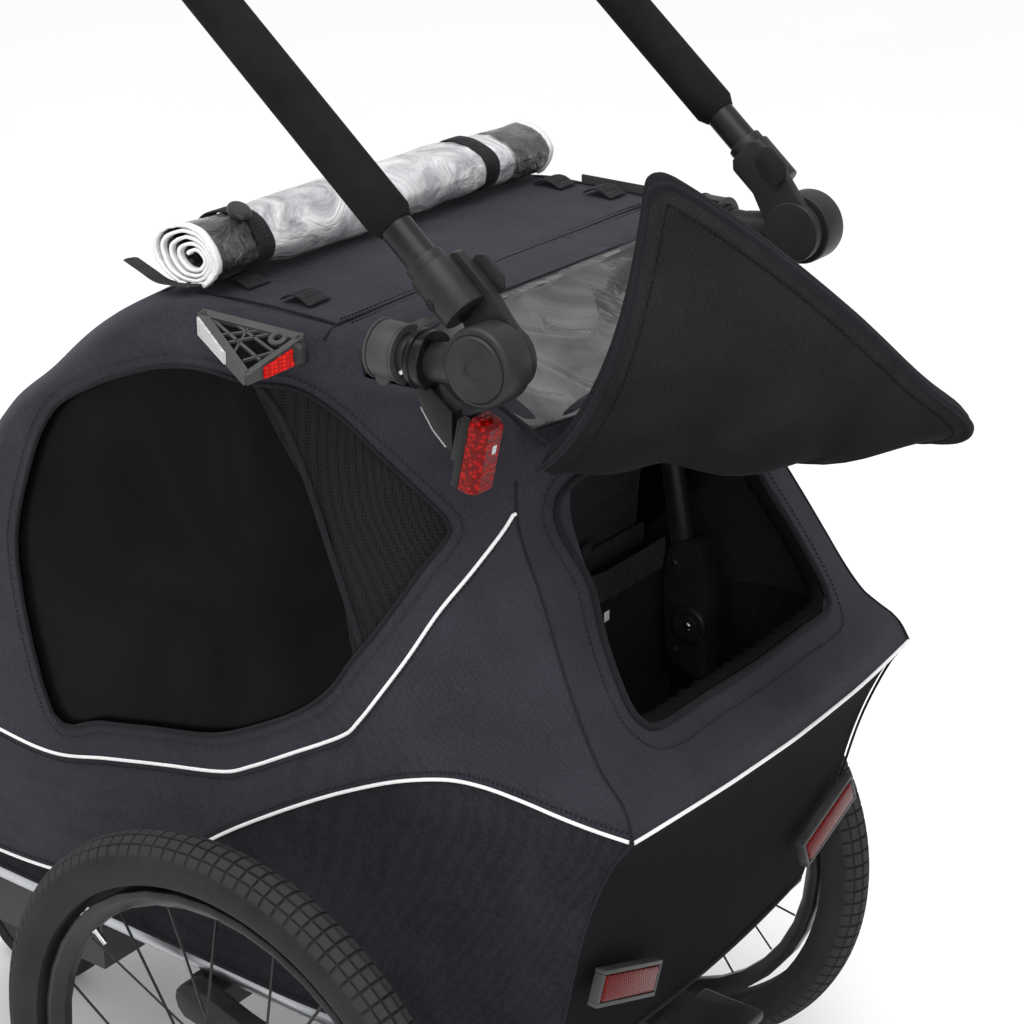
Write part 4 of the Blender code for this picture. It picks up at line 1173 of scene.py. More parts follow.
def flap():
    marks = [0, 0.012, 0.026, 0.034, 0.042, 0.05]
    marks += [0.05 + 0.9 * i / 54 for i in range(1, 54)]
    marks += [1 - m for m in reversed(marks[:6])]
    bm = bmesh.new()
    rows = grid_into(bm, [[flap_point(u, v) for v in marks] for u in marks])
    for _ in range(4):
        bmesh.ops.smooth_vert(bm, verts=[v for row in rows[1:-1] for v in row[1:-1]], factor=0.5,
                              use_axis_x=True, use_axis_y=True, use_axis_z=True)
    bmesh.ops.recalc_face_normals(bm, faces=bm.faces)
    bm.normal_update()
    for i, row in enumerate(rows):
        for j, v in enumerate(row):
            edge = min(i, j, len(rows) - 1 - i, len(row) - 1 - j)
            pull = -0.0012 if edge == 3 else 0.0
            slow = noise.noise(v.co * 11 + Vector((5, 2, 1))) * 0.005
            pucker = noise.noise(v.co * 60) * 0.0007 if 1 <= edge <= 5 else 0.0
            v.co += v.normal * ((slow + pucker) * min(1.0, edge / 4) + pull)
    spots = [[v.co.copy() for v in row] for row in rows]
    border = [*spots[0], *(row[-1] for row in spots[1:]), *reversed(spots[-1][:-1]),
              *(row[0] for row in reversed(spots[1:-1]))]
    inner = spots[4:-4]
    sides = [inner[0][4:-4], [row[4] for row in inner], inner[-1][4:-4], [row[-5] for row in inner]]
    away = rows[20][50].normal.copy()
    sheet = make("flap_sheet", bm, "flap", "flap", angle=80, replaces=["trunk_flap"])
    thicken(sheet, 0.0026, 0)
    hem = flap_binding(border, len(rows))
    bm = bmesh.new()
    for line in sides:
        for lift in (1, -1):
            stitches_into(bm, [p + away * 0.0016 * lift for p in line], away)
    thread = make("flap_stitches", bm, "thread", "flap")


def flap_binding(border, count):
    """A corded edge, with a lip of binding turned over along the flap's first two sides."""
    bm = bmesh.new()
    tube_into(bm, evened(border, 0.005, closed=True), 0.0024, 8, closed=True)
    edge = border[:2 * count - 1]
    lip = []
    for i, p in enumerate(edge):
        end = min(1.0, i / 8, (len(edge) - 1 - i) / 8)
        out, over = Vector((-0.002, -0.004, 0.0065)) * end, Vector((0.007, 0.002, 0.001)) * end
        lip.append([p + out * k + over * (k * k) for k in (0.0, 0.35, 0.7, 1.0)])
    grid_into(bm, lip)
    return make("flap_binding", bm, "hem", "flap", angle=70)


# Rolled rain cover
ROLL = Vector((0.088, 0, 0.9385))
ROLL_TURNS, TURN_STEPS = 4.6, 44
STRAP_LEFT_Y, STRAP_RIGHT_Y = 0.16, -0.128


def roll_point(angle, t, y, lift=0.0):
    """A point of the roll at a share t of its radius; the inner turns lie towards the rear."""
    r = 0.005 + 0.0204 * t + lift
    wobble = 1 + 0.07 * noise.noise(Vector((math.cos(angle) * 1.3, math.sin(angle) * 1.3, y * 9)))
    pinch = 1 - 0.06 * sum(math.exp(-((y - strap) / 0.016) ** 2) for strap in (STRAP_LEFT_Y, STRAP_RIGHT_Y))
    taper = 1 - 0.1 * min(1.0, max(0.0, -y / 0.21))
    r *= wobble * pinch * taper
    x = ROLL.x - 0.013 * (1 - t) + 1.36 * r * math.cos(angle)
    return Vector((x, y, ROLL.z + 0.98 * r * math.sin(angle) - 0.0015 * (1 - taper) * 10))


def spiral(name, low, high, steps, material, thickness, replaces=()):
    """A length of the rolled cover from low to high, creased on its outer turn."""
    count = round(ROLL_TURNS * TURN_STEPS)
    rows = []
    for j in range(steps + 1):
        y = low + (high - low) * j / steps
        row = []
        for i in range(count + 1):
            angle = 2 * math.pi * i / TURN_STEPS + 0.4
            p = roll_point(angle, i / count, y)
            out = Vector((math.cos(angle), 0, math.sin(angle)))
            if i > count - TURN_STEPS:
                crease = noise.noise(Vector((angle * 1.2, y * 30, 2.0))) * 0.0016
                crease += abs(noise.noise(Vector((angle * 3.0, y * 14, 7.0)))) * 0.0022
                p += out * (crease - 0.0012)
            else:
                p += out * noise.noise(p * 160) * 0.0007
            row.append(p)
        rows.append(row)
    bm = bmesh.new()
    grid_into(bm, rows)
    return make(name, bm, material, "roof_frame", angle=80, thickness=thickness, replaces=replaces)


def rain_cover():
    sheet = spiral("rain_cover_sheet", -0.16, 0.166, 74, "roll", 0.0012, ["rain_cover_roll"])
    parts = [
        spiral("rain_cover_border_left", 0.1655, 0.213, 12, "border", 0.0014),
        spiral("rain_cover_border_right", -0.21, -0.1595, 12, "border", 0.0014),
        spiral("rain_cover_binding_left", 0.2122, 0.218, 3, "piping", 0.0026),
        spiral("rain_cover_binding_right", -0.2145, -0.2092, 3, "piping", 0.0026),
    ]
    roll_strap("left", STRAP_LEFT_Y)
    roll_strap("right", STRAP_RIGHT_Y)
    cord_lock()
    strap_tail()


def roll_strap(name, y):
    loop = [roll_point(2 * math.pi * i / 48, 1.0, y, 0.0016) for i in range(48)]
    rows = [[p + Vector((0, offset, 0)) for p in loop] for offset in (-0.0095, -0.0085, 0.0085, 0.0095)]
    for row in (rows[0], rows[-1]):
        for p in row:
            p -= (p - Vector((ROLL.x, p.y, ROLL.z))).normalized() * 0.0008
    bm = bmesh.new()
    grid_into(bm, rows, closed_across=True)
    make(f"roll_strap_{name}", bm, "webbing", "roof_frame", angle=60, thickness=-0.0013)


def cord_lock():
    bm = bmesh.new()
    lathe_into(bm, rounded(0.0092, -0.0034, 0.0034, 0.0033), (0, 0, 0), (0, 0, 1), 36)
    bmesh.ops.scale(bm, vec=(2.05, 1.0, 1.0), verts=bm.verts)
    bmesh.ops.rotate(bm, matrix=Matrix.Rotation(math.radians(-37), 3, "Z"), verts=bm.verts)
    bmesh.ops.rotate(bm, matrix=Matrix.Rotation(math.radians(-6), 3, "Y"), verts=bm.verts)
    bmesh.ops.translate(bm, vec=(0.07, 0.173, 0.9665), verts=bm.verts)
    make("roll_cord_lock", bm, "plastic", "roof_frame")


def strap_tail():
    """The loose end of a strap, lying on the roof."""
    line = [(0.07, 0.216, 0.9195), (0.09, 0.218, 0.9165), (0.115, 0.213, 0.913), (0.14, 0.205, 0.915),
            (0.168, 0.195, 0.917)]
    bm = bmesh.new()
    tube_into(bm, evened(smooth(line, 8), 0.005), 0.0011, 6, wide=6.0, up=(0, 0, 1))
    make("roll_strap_tail", bm, "webbing", "roof_frame")


# Corner bumpers
BUMPER_FRONT, BUMPER_REAR = Vector((0.05, 0.245, 0.912)), Vector((-0.058, 0.245, 0.912))
BUMPER_TIP = Vector((-0.04, 0.29, 0.8895))
BUMPER_UP = (BUMPER_TIP - BUMPER_REAR).cross(BUMPER_FRONT - BUMPER_REAR).normalized()
if BUMPER_UP.z < 0:
    BUMPER_UP.negate()
BUMPER_MIDDLE = (BUMPER_FRONT + BUMPER_REAR + BUMPER_TIP) / 3


def bumper_depth(p):
    """The bumper is deep at the roof and thin at its tip."""
    return 0.019 - 0.012 * (p.y - BUMPER_FRONT.y) / (BUMPER_TIP.y - BUMPER_FRONT.y)


def bumper_triangle(share):
    """The bumper's corners, drawn in towards its middle."""
    return [BUMPER_MIDDLE.lerp(p, share) for p in (BUMPER_FRONT, BUMPER_REAR, BUMPER_TIP)]


def bumper_spot(front, rear, tip):
    """A point of the bumper's face, from its shares of the three corners."""
    return BUMPER_FRONT * front + BUMPER_REAR * rear + BUMPER_TIP * tip


def bar_into(bm, a, b, width, share, sign):
    """A flat bar from a to b, its upper face on their line, reaching down a share of the bumper's depth."""
    along = (b - a).normalized()
    side = along.cross(BUMPER_UP).normalized() * (width / 2)
    a, b = a - along * width * 0.2, b + along * width * 0.2
    corners = [a - side, a + side, b + side, b - side]
    chamfer = 0.0007
    layers = [
        [p - Vector((0, 0, bumper_depth(p) * share)) for p in corners],
        [p - BUMPER_UP * chamfer for p in corners],
        [p + (((a + b) / 2 - p).normalized() * chamfer) for p in corners],
    ]
    solid_into(bm, [[mirrored(p, sign) for p in layer] for layer in layers])


def bumper_lattice(side, sign):
    bm = bmesh.new()
    front, rear, tip = bumper_triangle(0.9)
    for a, b, width in ((front, rear, 0.0066), (rear, tip, 0.0056), (tip, front, 0.0056)):
        bar_into(bm, a, b, width, 1.0, sign)
    ribs = (
        ((0.8, 0.1, 0.1), (0.1, 0.3, 0.6), 0.0038), ((0.5, 0.5, 0.0), (0.3, 0.0, 0.7), 0.0034),
        ((0.72, 0.28, 0.0), (0.0, 0.55, 0.45), 0.0034), ((0.22, 0.78, 0.0), (0.5, 0.0, 0.5), 0.0034),
        ((0.0, 0.8, 0.2), (0.2, 0.1, 0.7), 0.0034), ((0.6, 0.05, 0.35), (0.3, 0.7, 0.0), 0.003),
        ((0.85, 0.15, 0.0), (0.62, 0.0, 0.38), 0.003),
    )
    sunk = BUMPER_UP * 0.0012
    for a, b, width in ribs:
        bar_into(bm, bumper_spot(*a) - sunk, bumper_spot(*b) - sunk, width * 0.56, 0.5, sign)
    bmesh.ops.recalc_face_normals(bm, faces=bm.faces)
    make(f"bumper_lattice_{side}", bm, "plastic_grey", "roof_frame",
         replaces=[f"corner_bumper_{side}"])


def bumper_shade_block(side, sign):
    """A dark block under the lattice: painted shade that fills the inside of the lattice."""
    plug = [mirrored(p, sign) for p in bumper_triangle(0.89)]
    depths = [0.9 * bumper_depth(p) for p in bumper_triangle(0.89)]
    bm = bmesh.new()
    solid_into(bm, [[p - Vector((0, 0, 0.0032)) for p in plug],
                    [p - Vector((0, 0, depth)) for p, depth in zip(plug, depths)]])
    bmesh.ops.recalc_face_normals(bm, faces=bm.faces)
    make(f"bumper_shade_block_{side}", bm, "hollow", "roof_frame")


def bumper_fittings(side, sign):
    """The knob behind the bumper's tip and the eye in its rear corner."""
    bm = bmesh.new()
    knob = BUMPER_TIP.lerp(BUMPER_REAR, 0.93) + Vector((-0.001, 0.0035, -0.0105))
    half = [(0, -0.0085), (0.0035, -0.008), (0.0056, -0.005)]
    profile = [*half, (0.0062, 0), *((r, -h) for r, h in reversed(half))]
    lathe_into(bm, profile, mirrored(knob, sign), (0, 0, 1), 24)
    make(f"bumper_knob_{side}", bm, "plastic", "roof_frame", angle=50)
    bm = bmesh.new()
    ring = bumper_spot(0.17, 0.68, 0.15) + BUMPER_UP * 0.0004
    profile = [(0.0032, -0.01), (0.0078, -0.01), (0.0078, -0.0006), (0.007, 0.0), (0.004, 0.0),
               (0.0034, -0.0008), (0.0032, -0.01)]
    lathe_into(bm, profile, mirrored(ring, sign), mirrored(BUMPER_UP, sign), 28)
    make(f"bumper_eye_{side}", bm, "plastic_grey", "roof_frame")


def bumper_reflector(name, a, b, sign, material, replaces=()):
    """A lens on the bumper's edge from a to b."""
    along = (b - a).normalized()
    out = along.cross(Vector((0, 0, 1))).normalized()
    out = out if out.dot(BUMPER_MIDDLE - (a + b) / 2) < 0 else -out
    rows = []
    for depth, lift in ((0.95, 0.0004), (0.92, 0.0024), (0.16, 0.0024), (0.13, 0.0004)):
        row = []
        for t in (0.0, 0.02, 0.98, 1.0):
            p = a.lerp(b, t)
            p = p - Vector((0, 0, bumper_depth(p) * depth)) + out * (0.0004 if t in (0.0, 1.0) else lift)
            row.append(mirrored(p, sign))
        rows.append(row)
    bm = bmesh.new()
    grid_into(bm, rows)
    bmesh.ops.recalc_face_normals(bm, faces=bm.faces)
    make(name, bm, material, "roof_frame", thickness=0.001, replaces=replaces)


def corner_bumpers():
    tip, rear, front = BUMPER_TIP, BUMPER_REAR, BUMPER_FRONT
    for side, sign in SIDES:
        bumper_lattice(side, sign)
        bumper_shade_block(side, sign)
        bumper_fittings(side, sign)
        bumper_reflector(f"bumper_red_{side}", tip.lerp(rear, 0.28), tip.lerp(rear, 0.78), sign,
                         "red", [f"bumper_reflector_{side}"])
        bumper_reflector(f"bumper_white_{side}", tip.lerp(front, 0.38), tip.lerp(front, 0.94), sign,
                         "white")


# Handlebar and its hinges
PIVOT = Vector((-0.2, 0, 0.912))
ALONG = Vector((math.cos(math.radians(40)), 0, math.sin(math.radians(40))))
ACROSS = Vector((-ALONG.z, 0, ALONG.x))
BAR_Y, CLAMP_Z = 0.2125, 0.903


def reach(distance, y):
    """A point on the handlebar's axis at a distance from its hinge."""
    return PIVOT + ALONG * distance + ACROSS * 0.01 + Vector((0, y, 0))


def in_bar_plane(outline):
    """An outline given along and across the bar, as points (x, z)."""
    return [(p.x, p.z) for p in (PIVOT + ALONG * a + ACROSS * b for a, b in outline)]


def handlebar():
    corner = 0.06
    bend = [(0.42 - corner * (1 - math.sin(a)), BAR_Y - corner * (1 - math.cos(a)))
            for a in (math.radians(9 * i) for i in range(1, 11))]
    half = [(0.36, BAR_Y), *bend]
    outline = half + [(d, -y) for d, y in reversed(half)]
    top = [reach(d, y) for d, y in outline]
    bm = bmesh.new()
    tube_into(bm, [reach(0.0785, BAR_Y), *top, reach(0.0785, -BAR_Y)], 0.0124, 28)
    make("handlebar_bar", bm, "coated", "handlebar", replaces=["handlebar_tube"])
    bm = bmesh.new()
    arm = [reach(0.1175 + 0.2425 * i / 30, BAR_Y) for i in range(30)]
    path = [*arm, *top, *(mirrored(p, -1) for p in reversed(arm))]
    count = len(path)

    def thick(t):
        end = min(t, 1 - t) * (count - 1)
        return 0.0174 - 0.004 * max(0.0, 1 - end / 0.6) ** 2

    tube_into(bm, path, thick, 28)
    make("handlebar_foam", bm, "foam", "handlebar", replaces=["handlebar_grip"])
    for side, sign in SIDES:
        socket(side, sign)
        hinge(side, sign)
        quick_release(side, sign)


def socket(side, sign):
    y = sign * BAR_Y
    bm = bmesh.new()
    lathe_into(bm, rounded(0.0172, 0.0, 0.04, 0.0012), reach(0.0375, y), ALONG, 48)
    lathe_into(bm, rounded(0.015, 0.0, 0.012, 0.001), reach(0.074, y), ALONG, 48)
    arm = ((-0.004, -0.0225), (0.03, -0.01), (0.046, -0.004), (0.072, -0.004), (0.078, 0.002),
           (0.078, 0.024), (0.074, 0.03), (0.036, 0.03), (0.018, 0.026), (-0.004, 0.0228))
    plate_into(bm, in_bar_plane(arm), sign * 0.193, sign * 0.2022, "Y", 0.0012)
    lathe_into(bm, rounded(0.025, 0.0, 0.01, 0.0015), (PIVOT.x, sign * 0.1922, PIVOT.z), (0, sign, 0), 56)
    ear = ((0.034, 0.018), (0.06, 0.018), (0.066, 0.024), (0.066, 0.034), (0.06, 0.04), (0.04, 0.04),
           (0.034, 0.034))
    plate_into(bm, in_bar_plane(ear), sign * 0.189, sign * 0.1925, "Y", 0.0012)
    make(f"bar_socket_{side}", bm, "plastic", "handlebar",
         replaces=[f"handlebar_socket_{side}"])
    bm = bmesh.new()
    out = (Vector((0, sign, 0)) * 0.86 - ACROSS * 0.51).normalized()
    lathe_into(bm, [(0.0, 0.016), (0.0044, 0.016), (0.0046, 0.0178), (0.004, 0.0184), (0.0026, 0.0184),
                    (0.0022, 0.0172), (0.0, 0.0172)], reach(0.056, y), out, 24)
    make(f"socket_screw_{side}", bm, "coated", "handlebar")


def hinge(side, sign):
    bm = bmesh.new()
    profile = [(0, 0.2045), (0.028, 0.2045), (0.029, 0.2052), (0.0294, 0.2065), (0.0294, 0.227),
               (0.0288, 0.2292), (0.0272, 0.2308), (0.0256, 0.2314), (0.025, 0.2316), (0.0247, 0.231),
               (0.0243, 0.231), (0.024, 0.2328), (0.0232, 0.2338), (0.02, 0.2344), (0.012, 0.2346),
               (0.0116, 0.2348), (0.0068, 0.2349), (0.0064, 0.2343), (0, 0.2342)]
    lathe_into(bm, profile, (PIVOT.x, 0, PIVOT.z), (0, sign, 0), 72)
    lathe_into(bm, rounded(0.0146, 0.0, 0.05, 0.001), (-0.196, sign * 0.2195, 0.9085),
               Vector((0.046, -sign * 0.007, -0.0055)), 36)
    make(f"hinge_drum_{side}", bm, "plastic", "roof_frame", replaces=[f"hinge_base_{side}"])
    bm = bmesh.new()
    base = (0, sign * BAR_Y, CLAMP_Z)
    lathe_into(bm, rounded(0.0136, -0.152, -0.099, 0.001), base, (1, 0, 0), 48)
    lathe_into(bm, rounded(0.0158, -0.132, -0.124, 0.0012), base, (1, 0, 0), 48)
    lathe_into(bm, rounded(0.0146, -0.124, -0.099, 0.001), base, (1, 0, 0), 48)
    make(f"hinge_sleeve_{side}", bm, "plastic", "roof_frame")
    bm = bmesh.new()
    pin = Vector((-0.131, sign * (BAR_Y + 0.0132), 0.8955))
    lathe_into(bm, [(0, -0.002), (0.0022, -0.002), (0.0022, 0.0022), (0.0016, 0.003), (0, 0.0032)], pin,
               (0, sign, -0.42), 20)
    make(f"hinge_pin_{side}", bm, "steel", "roof_frame")


def quick_release(side, sign):
    """A closed cam lever wrapped round the clamp, with a rounded tab at its lower outer end."""
    bm = bmesh.new()
    for x_low, x_high, outer, inner, start, end in (
        (-0.1235, -0.1035, 0.0214, 0.0178, 108, -62), (-0.1262, -0.124, 0.0222, 0.0165, 120, -80),
        (-0.103, -0.1008, 0.0222, 0.0165, 120, -80),
    ):
        rings = []
        steps, chamfer = 26, 0.0006
        for i in range(steps + 1):
            angle = math.radians(start + (end - start) * i / steps)
            taper = 1.0 if x_high - x_low < 0.01 else min(1.0, 0.72 + 0.28 * min(1.0, (steps - i) / 6))
            mid, half = (x_low + x_high) / 2, (x_high - x_low) / 2 * taper
            section = (
                (inner, mid - half), (inner, mid + half), (outer - chamfer, mid + half),
                (outer, mid + half - chamfer), (outer, mid - half + chamfer), (outer - chamfer, mid - half),
            )
            across, up = sign * math.cos(angle), math.sin(angle)
            rings.append([Vector((x, sign * BAR_Y + across * r, CLAMP_Z + up * r)) for r, x in section])
        solid_into(bm, rings)
    tab = [(-0.1175, 0.894), (-0.1015, 0.894), (-0.102, 0.8845), (-0.1055, 0.88), (-0.1095, 0.879),
           (-0.1135, 0.88), (-0.117, 0.8845)]
    plate_into(bm, tab, sign * (BAR_Y + 0.0074), sign * (BAR_Y + 0.0108), "Y", 0.0008)
    bmesh.ops.recalc_face_normals(bm, faces=bm.faces)
    make(f"release_lever_{side}", bm, "plastic_grey", f"quick_release_{side}",
         replaces=[f"quick_release_lever_{side}"])
    bm = bmesh.new()
    lathe_into(bm, rounded(0.016, -0.1236, -0.1034, 0.0008), (0, sign * BAR_Y, CLAMP_Z), (1, 0, 0), 40)
    make(f"release_clamp_{side}", bm, "plastic", "roof_frame")


LIGHT_LEAN = Matrix.Translation((-0.188, 0, 0.846)) @ Matrix.Rotation(math.radians(-12), 4, "Y")


def light_clamp():
    """A grooved ring on the left clamp and a plate that reaches down from it."""
    bm = bmesh.new()
    half = [(0.0149, -0.15), (0.0212, -0.15), (0.022, -0.1492), (0.022, -0.1462), (0.0206, -0.1454)]
    ring = [*half, *((r, -0.2872 - x) for r, x in reversed(half)), half[0]]
    lathe_into(bm, ring, (0, BAR_Y, CLAMP_Z), (1, 0, 0), 56)
    plate = [(-0.152, 0.886), (-0.138, 0.884), (-0.1435, 0.8697), (-0.1543, 0.8545), (-0.166, 0.844),
             (-0.1715, 0.842), (-0.1715, 0.872)]
    plate_into(bm, plate, 0.2085, 0.2215, "Y", 0.001)
    make("light_clamp", bm, "plastic_deep", "roof_frame", replaces=["tail_light_bracket"])


def tail_light():
    light_clamp()
    bm = bmesh.new()
    block_into(bm, (0.0003, 0.2052, -0.029), (0.008, 0.229, 0.0285), LIGHT_LEAN, 0.002, 3)
    block_into(bm, (0.006, 0.211, -0.013), (0.015, 0.223, 0.02), LIGHT_LEAN, 0.001, 2)
    make("light_case", bm, "plastic_deep", "roof_frame", replaces=["tail_light_housing"])
    bm = bmesh.new()
    middle_y = 0.217
    outline = [(0.2062, 0), (0.2062, -0.012), (0.209, -0.015), (0.225, -0.015), (0.2294, -0.0105),
               (0.2294, 0)]
    ends = ((-0.0285, 0.86), (-0.0275, 0.95), (-0.026, 1.0), (0.024, 1.0), (0.027, 0.8), (0.029, 0.5))
    rings = []
    for z, shrink in ends:
        narrow = 0.5 + 0.5 * shrink
        ring = [Vector((x * shrink, middle_y + (y - middle_y) * narrow, z)) for y, x in outline]
        rings.append([LIGHT_LEAN @ p for p in ring])
    solid_into(bm, rings)
    bmesh.ops.recalc_face_normals(bm, faces=bm.faces)
    make("light_lens", bm, "lamp", "roof_frame", angle=20, replaces=["tail_light_lens"])
    bm = bmesh.new()
    block_into(bm, (-0.0156, 0.213, 0.003), (-0.0142, 0.2175, 0.01), LIGHT_LEAN, 0.0005)
    make("light_led_cover", bm, "white", "roof_frame")
    bm = bmesh.new()
    spring = [(x, 0.2215, z) for x, z in ((-0.1438, 0.8697), (-0.1544, 0.8547), (-0.166, 0.8444))]
    tube_into(bm, spring, 0.0007, 8)
    make("light_spring", bm, "steel", "roof_frame")


# Struts, wheels and small pieces
def strut(side, sign):
    top, foot = Vector((-0.085, sign * 0.15, 0.885)), Vector((-0.165, sign * 0.15, 0.46))
    bm = bmesh.new()
    half = [(0.0132, -0.0095), (0.0176, -0.0095), (0.0182, -0.0085)]
    lathe_into(bm, [*half, *((r, -h) for r, h in reversed(half)), half[0]], top, (0, 1, 0), 40)
    tube_into(bm, [top.lerp(foot, 0.04), top.lerp(foot, 0.5), foot], 0.0106, 24)
    make(f"strut_tube_{side}", bm, "coated", "folding_struts",
         replaces=[f"folding_strut_{side}"])
    bm = bmesh.new()
    outline = ((-0.166, 0.52), (-0.146, 0.518), (-0.128, 0.53), (-0.122, 0.58), (-0.124, 0.626),
               (-0.14, 0.64), (-0.158, 0.634), (-0.167, 0.58))
    plate_into(bm, curve2(outline, 4), sign * 0.1372, sign * 0.1603, "Y", 0.001)
    make(f"strut_latch_{side}", bm, "plastic", "folding_struts")
    knob, outwards = (-0.152, 0, 0.566), (0, sign, 0)
    bm = bmesh.new()
    lathe_into(bm, [(0, 0.1292), (0.0085, 0.1292), (0.009, 0.13), (0.015, 0.1302), (0.0168, 0.1316),
                    (0.0172, 0.1345), (0.016, 0.1376), (0, 0.138)], knob, outwards, 44)
    make(f"strut_knob_{side}", bm, "plastic", "folding_struts")
    bm = bmesh.new()
    screw = [(0, 0.127), (0.003, 0.1274), (0.004, 0.1286), (0.004, 0.13), (0, 0.13)]
    lathe_into(bm, screw, knob, outwards, 20)
    bolt = [(0, 0.1352), (0.0026, 0.1356), (0.003, 0.1366), (0.003, 0.1376), (0, 0.1376)]
    for x, z in ((-0.132, 0.618), (-0.134, 0.535)):
        lathe_into(bm, bolt, (x, 0, z), outwards, 16)
    make(f"strut_bolts_{side}", bm, "steel", "folding_struts")


def tyre(name, centre, radius, tube, body, node_name, lugs=116):
    """A tyre with five rows of blocks cut by narrow grooves."""
    half = [(0, 1), (11, 1), (12.5, 0), (15, 0), (16.5, 1), (35, 1), (36.5, 0), (39, 0), (40.5, 1), (57, 1),
            (60, 0), (66, 0), (84, 0), (102, 0), (120, 0), (138, 0), (156, 0)]
    around = [*half, (180, 0), *((360 - a, k) for a, k in reversed(half[1:]))]
    inner = radius - 2 * tube + 0.006
    bm = bmesh.new()
    rows = []
    for i in range(lugs):
        for phase, cut in ((0.0, 1), (0.06, 0), (0.84, 0), (0.9, 1)):
            turn = 2 * math.pi * (i + phase) / lugs
            row = []
            for angle, tread in around:
                a = math.radians(angle)
                r = max(inner, radius - tube + tube * math.cos(a))
                if math.cos(a) > 0.4:
                    r -= 0.0 if tread and not cut else 0.002
                spot = Vector((r * math.cos(turn), tube * 0.98 * math.sin(a), r * math.sin(turn)))
                row.append(Vector(centre) + spot)
            rows.append(row)
    grid_into(bm, rows, closed_across=True, closed_along=True)
    bmesh.ops.recalc_face_normals(bm, faces=bm.faces)
    make(name, bm, "rubber", body, angle=32, replaces=[node_name])


def wheel_fittings(side, sign, centre):
    """Three screws on the hub and the valve on the rim."""
    bm = bmesh.new()
    screw = [(0, -0.001), (0.0018, -0.001), (0.0018, 0.0006), (0, 0.001)]
    for i in range(3):
        a = 2 * math.pi * i / 3 + 0.3
        spot = Vector(centre) + Vector((0.0205 * math.cos(a), sign * 0.0212, 0.0205 * math.sin(a)))
        lathe_into(bm, screw, spot, (0, sign, 0), 12)
    valve = [(0, -0.028), (0.0022, -0.028), (0.0026, -0.016), (0.0036, -0.014), (0.0036, 0.004), (0, 0.004)]
    out = Vector((math.cos(0.7), 0, math.sin(0.7)))
    lathe_into(bm, valve, Vector(centre) + out * 0.2, out, 14)
    make(f"wheel_fittings_{side}", bm, "steel", f"wheel_{side}")


def wheels():
    for side, sign in SIDES:
        centre = (0, sign * 0.308, 0.25)
        tyre(f"treaded_tyre_{side}", centre, 0.2498, 0.0233, f"wheel_{side}", f"tyre_{side}")
        wheel_fittings(side, sign, centre)


def rear_reflector_frames():
    rear, front, end, top, rim = -0.2888, -0.28, 0.044, 0.015, 0.0037
    bars = (
        ((rear, -end, -top), (front, end, rim - top)), ((rear, -end, top - rim), (front, end, top)),
        ((rear, -end, rim - top), (front, rim - end, top - rim)),
        ((rear, end - rim, rim - top), (front, end, top - rim)),
    )
    for side, sign in SIDES:
        tilt = Matrix.Rotation(sign * math.radians(22), 4, "X")
        bm = bmesh.new()
        for low, high in bars:
            block_into(bm, low, high, Matrix.Translation((0, sign * 0.155, 0.408)) @ tilt, 0.0008)
        make(f"reflector_frame_{side}", bm, "plastic_grey", "chassis")


# Carried-over solids
def finish_node(name, material, bevel):
    """Gives a CAD solid that is kept its material, and rounds its edges a little."""
    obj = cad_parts[name]
    obj.data.materials.clear()
    obj.data.materials.append(M[material])
    if "custom_normal" in obj.data.attributes:
        obj.data.attributes.remove(obj.data.attributes["custom_normal"])
    weld = obj.modifiers.new("weld", "WELD")
    weld.merge_threshold = 0.00002
    if bevel:
        edges = obj.modifiers.new("edges", "BEVEL")
        edges.width = bevel
        edges.segments = 2
        edges.limit_method = "ANGLE"
        edges.angle_limit = math.radians(38)
    split = obj.modifiers.new("sharp", "EDGE_SPLIT")
    split.split_angle = math.radians(36)
    for face in obj.data.polygons:
        face.use_smooth = True


def finish_nodes():
    looks = {
        "alloy": ("side_rail_left", "side_rail_right", "rear_cross_tube", "front_cross_tube",
                  "rear_post_left", "rear_post_right", "roof_front_tube", "roof_rear_tube",
                  "roof_hoop_left", "roof_hoop_right"),
        "coated": ("drawbar", "rim_left", "rim_right", "hub_and_spokes_left", "hub_and_spokes_right"),
        "plastic": ("axle_beam", "floor_tray", "suspension_arm_left", "suspension_arm_right",
                    "buggy_wheel_receiver", "buggy_fork", "hitch_receiver", "hitch_coupler", "brake_pedal"),
        "plastic_grey": ("buggy_rim",),
        "red": ("drawbar_lock_knob",),
        # The rear reflectors take the red lens darkened as painted shade.
        "red_dark": ("rear_reflector_left", "rear_reflector_right"),
        "rubber": ("buggy_tyre",),
    }
    for material, names in looks.items():
        for name in names:
            bevelled = not name.startswith(("hub", "drawbar", "roof_hoop"))
            finish_node(name, material, 0.0008 if bevelled else 0.0)


# Stage
def area_light(name, place, aim, size, power):
    data = bpy.data.lights.new(name, "AREA")
    data.shape = "RECTANGLE"
    data.size, data.size_y = size
    data.energy = power
    obj = linked(name, data)
    obj.location = place
    obj.rotation_euler = (Vector(aim) - Vector(place)).to_track_quat("-Z", "Y").to_euler()


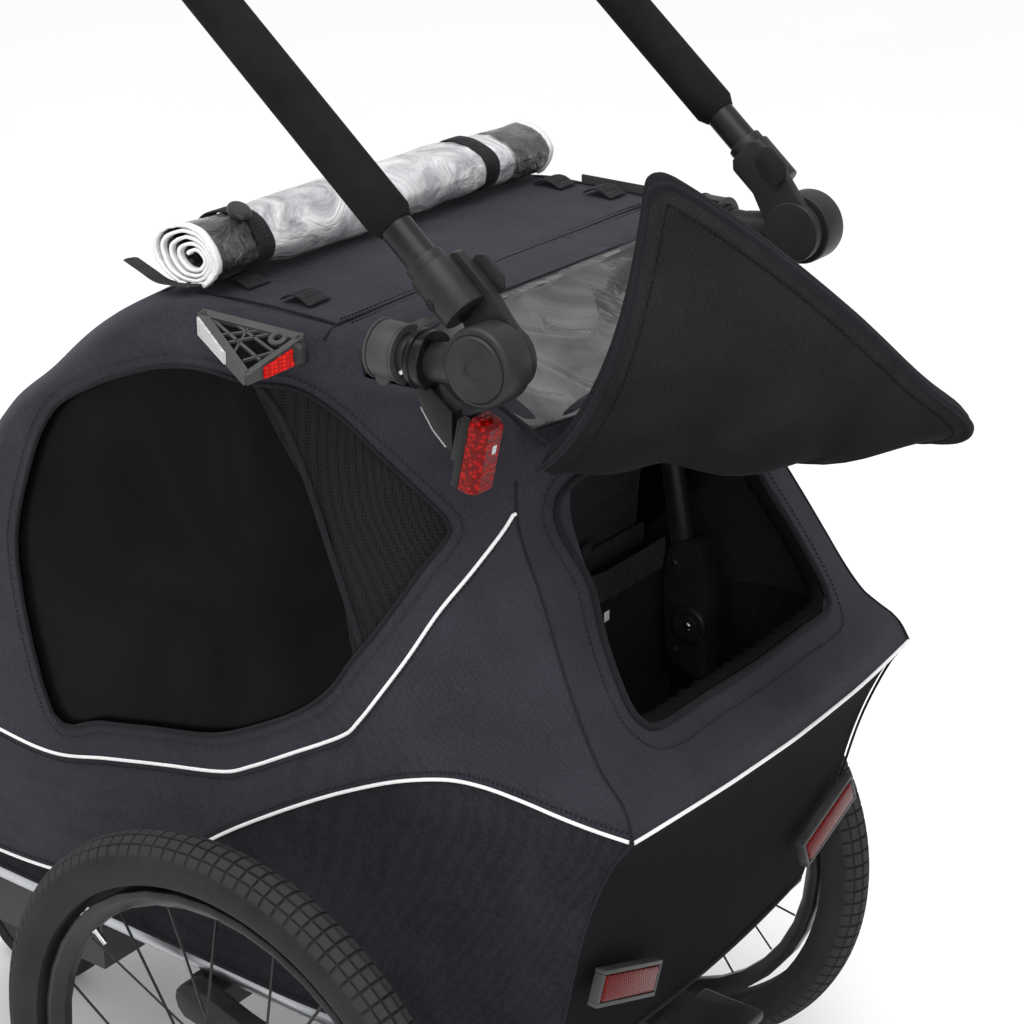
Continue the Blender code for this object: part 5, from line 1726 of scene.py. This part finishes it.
def floor():
    bm = bmesh.new()
    bmesh.ops.create_grid(bm, x_segments=2, y_segments=2, size=40)
    ground = object_of("floor", bm)
    made, tree, shader = new_material("pale_floor", (0.93, 0.93, 0.93), 0.7)
    colour = colours(tree, noise_of(tree, place_of(tree), 2.0), grey(0.92), grey(0.94))
    tree.links.new(colour, shader.inputs["Base Color"])
    ground.data.materials.append(made)


def lights():
    world = bpy.context.scene.world or bpy.data.worlds.new("studio")
    bpy.context.scene.world = world
    world.use_nodes = True
    sky = world.node_tree.nodes["Background"]
    sky.inputs["Color"].default_value = (1, 1, 1, 1)
    sky.inputs["Strength"].default_value = 0.62
    area_light("top", (AXLE_X + 0.3, 0.4, 3.0), (AXLE_X, 0, 0.7), (2.4, 2.0), 40)
    area_light("rear_left", (AXLE_X - 1.9, 2.4, 1.9), (AXLE_X, 0, 0.6), (1.8, 1.8), 22)
    sun = linked("sun", bpy.data.lights.new("sun", "SUN"))
    sun.data.energy = 1.5
    sun.data.angle = math.radians(50)
    sun.rotation_euler = Vector((0.25, -0.38, -1.0)).to_track_quat("-Z", "Y").to_euler()


def camera():
    """The photograph's view: from the rear left and above."""
    data = bpy.data.cameras.new("camera")
    data.lens = 83.32
    data.sensor_width = 36.0
    data.clip_start = 0.05
    eye = linked("camera", data)
    pitch, yaw = math.radians(22.7), math.radians(53.3)
    eye.location = (AXLE_X - 1.14, 1.45, 1.45)
    aim = Vector((math.cos(pitch) * math.cos(yaw), -math.cos(pitch) * math.sin(yaw), -math.sin(pitch)))
    eye.rotation_euler = aim.to_track_quat("-Z", "Y").to_euler()
    bpy.context.scene.camera = eye
    bpy.context.scene.view_settings.view_transform = "Standard"


floor()
lights()
camera()
cabin_fabric()
side_panels()
piping()
corner_seams()
trunk_edges()
front_screen()
bottom_hem()
roof_details()
film_panel()
seat()
harness()
trunk_pocket()
trunk_lining()
flap()
rain_cover()
corner_bumpers()
handlebar()
tail_light()
for strut_side, strut_sign in SIDES:
    strut(strut_side, strut_sign)
wheels()
rear_reflector_frames()
finish_nodes()
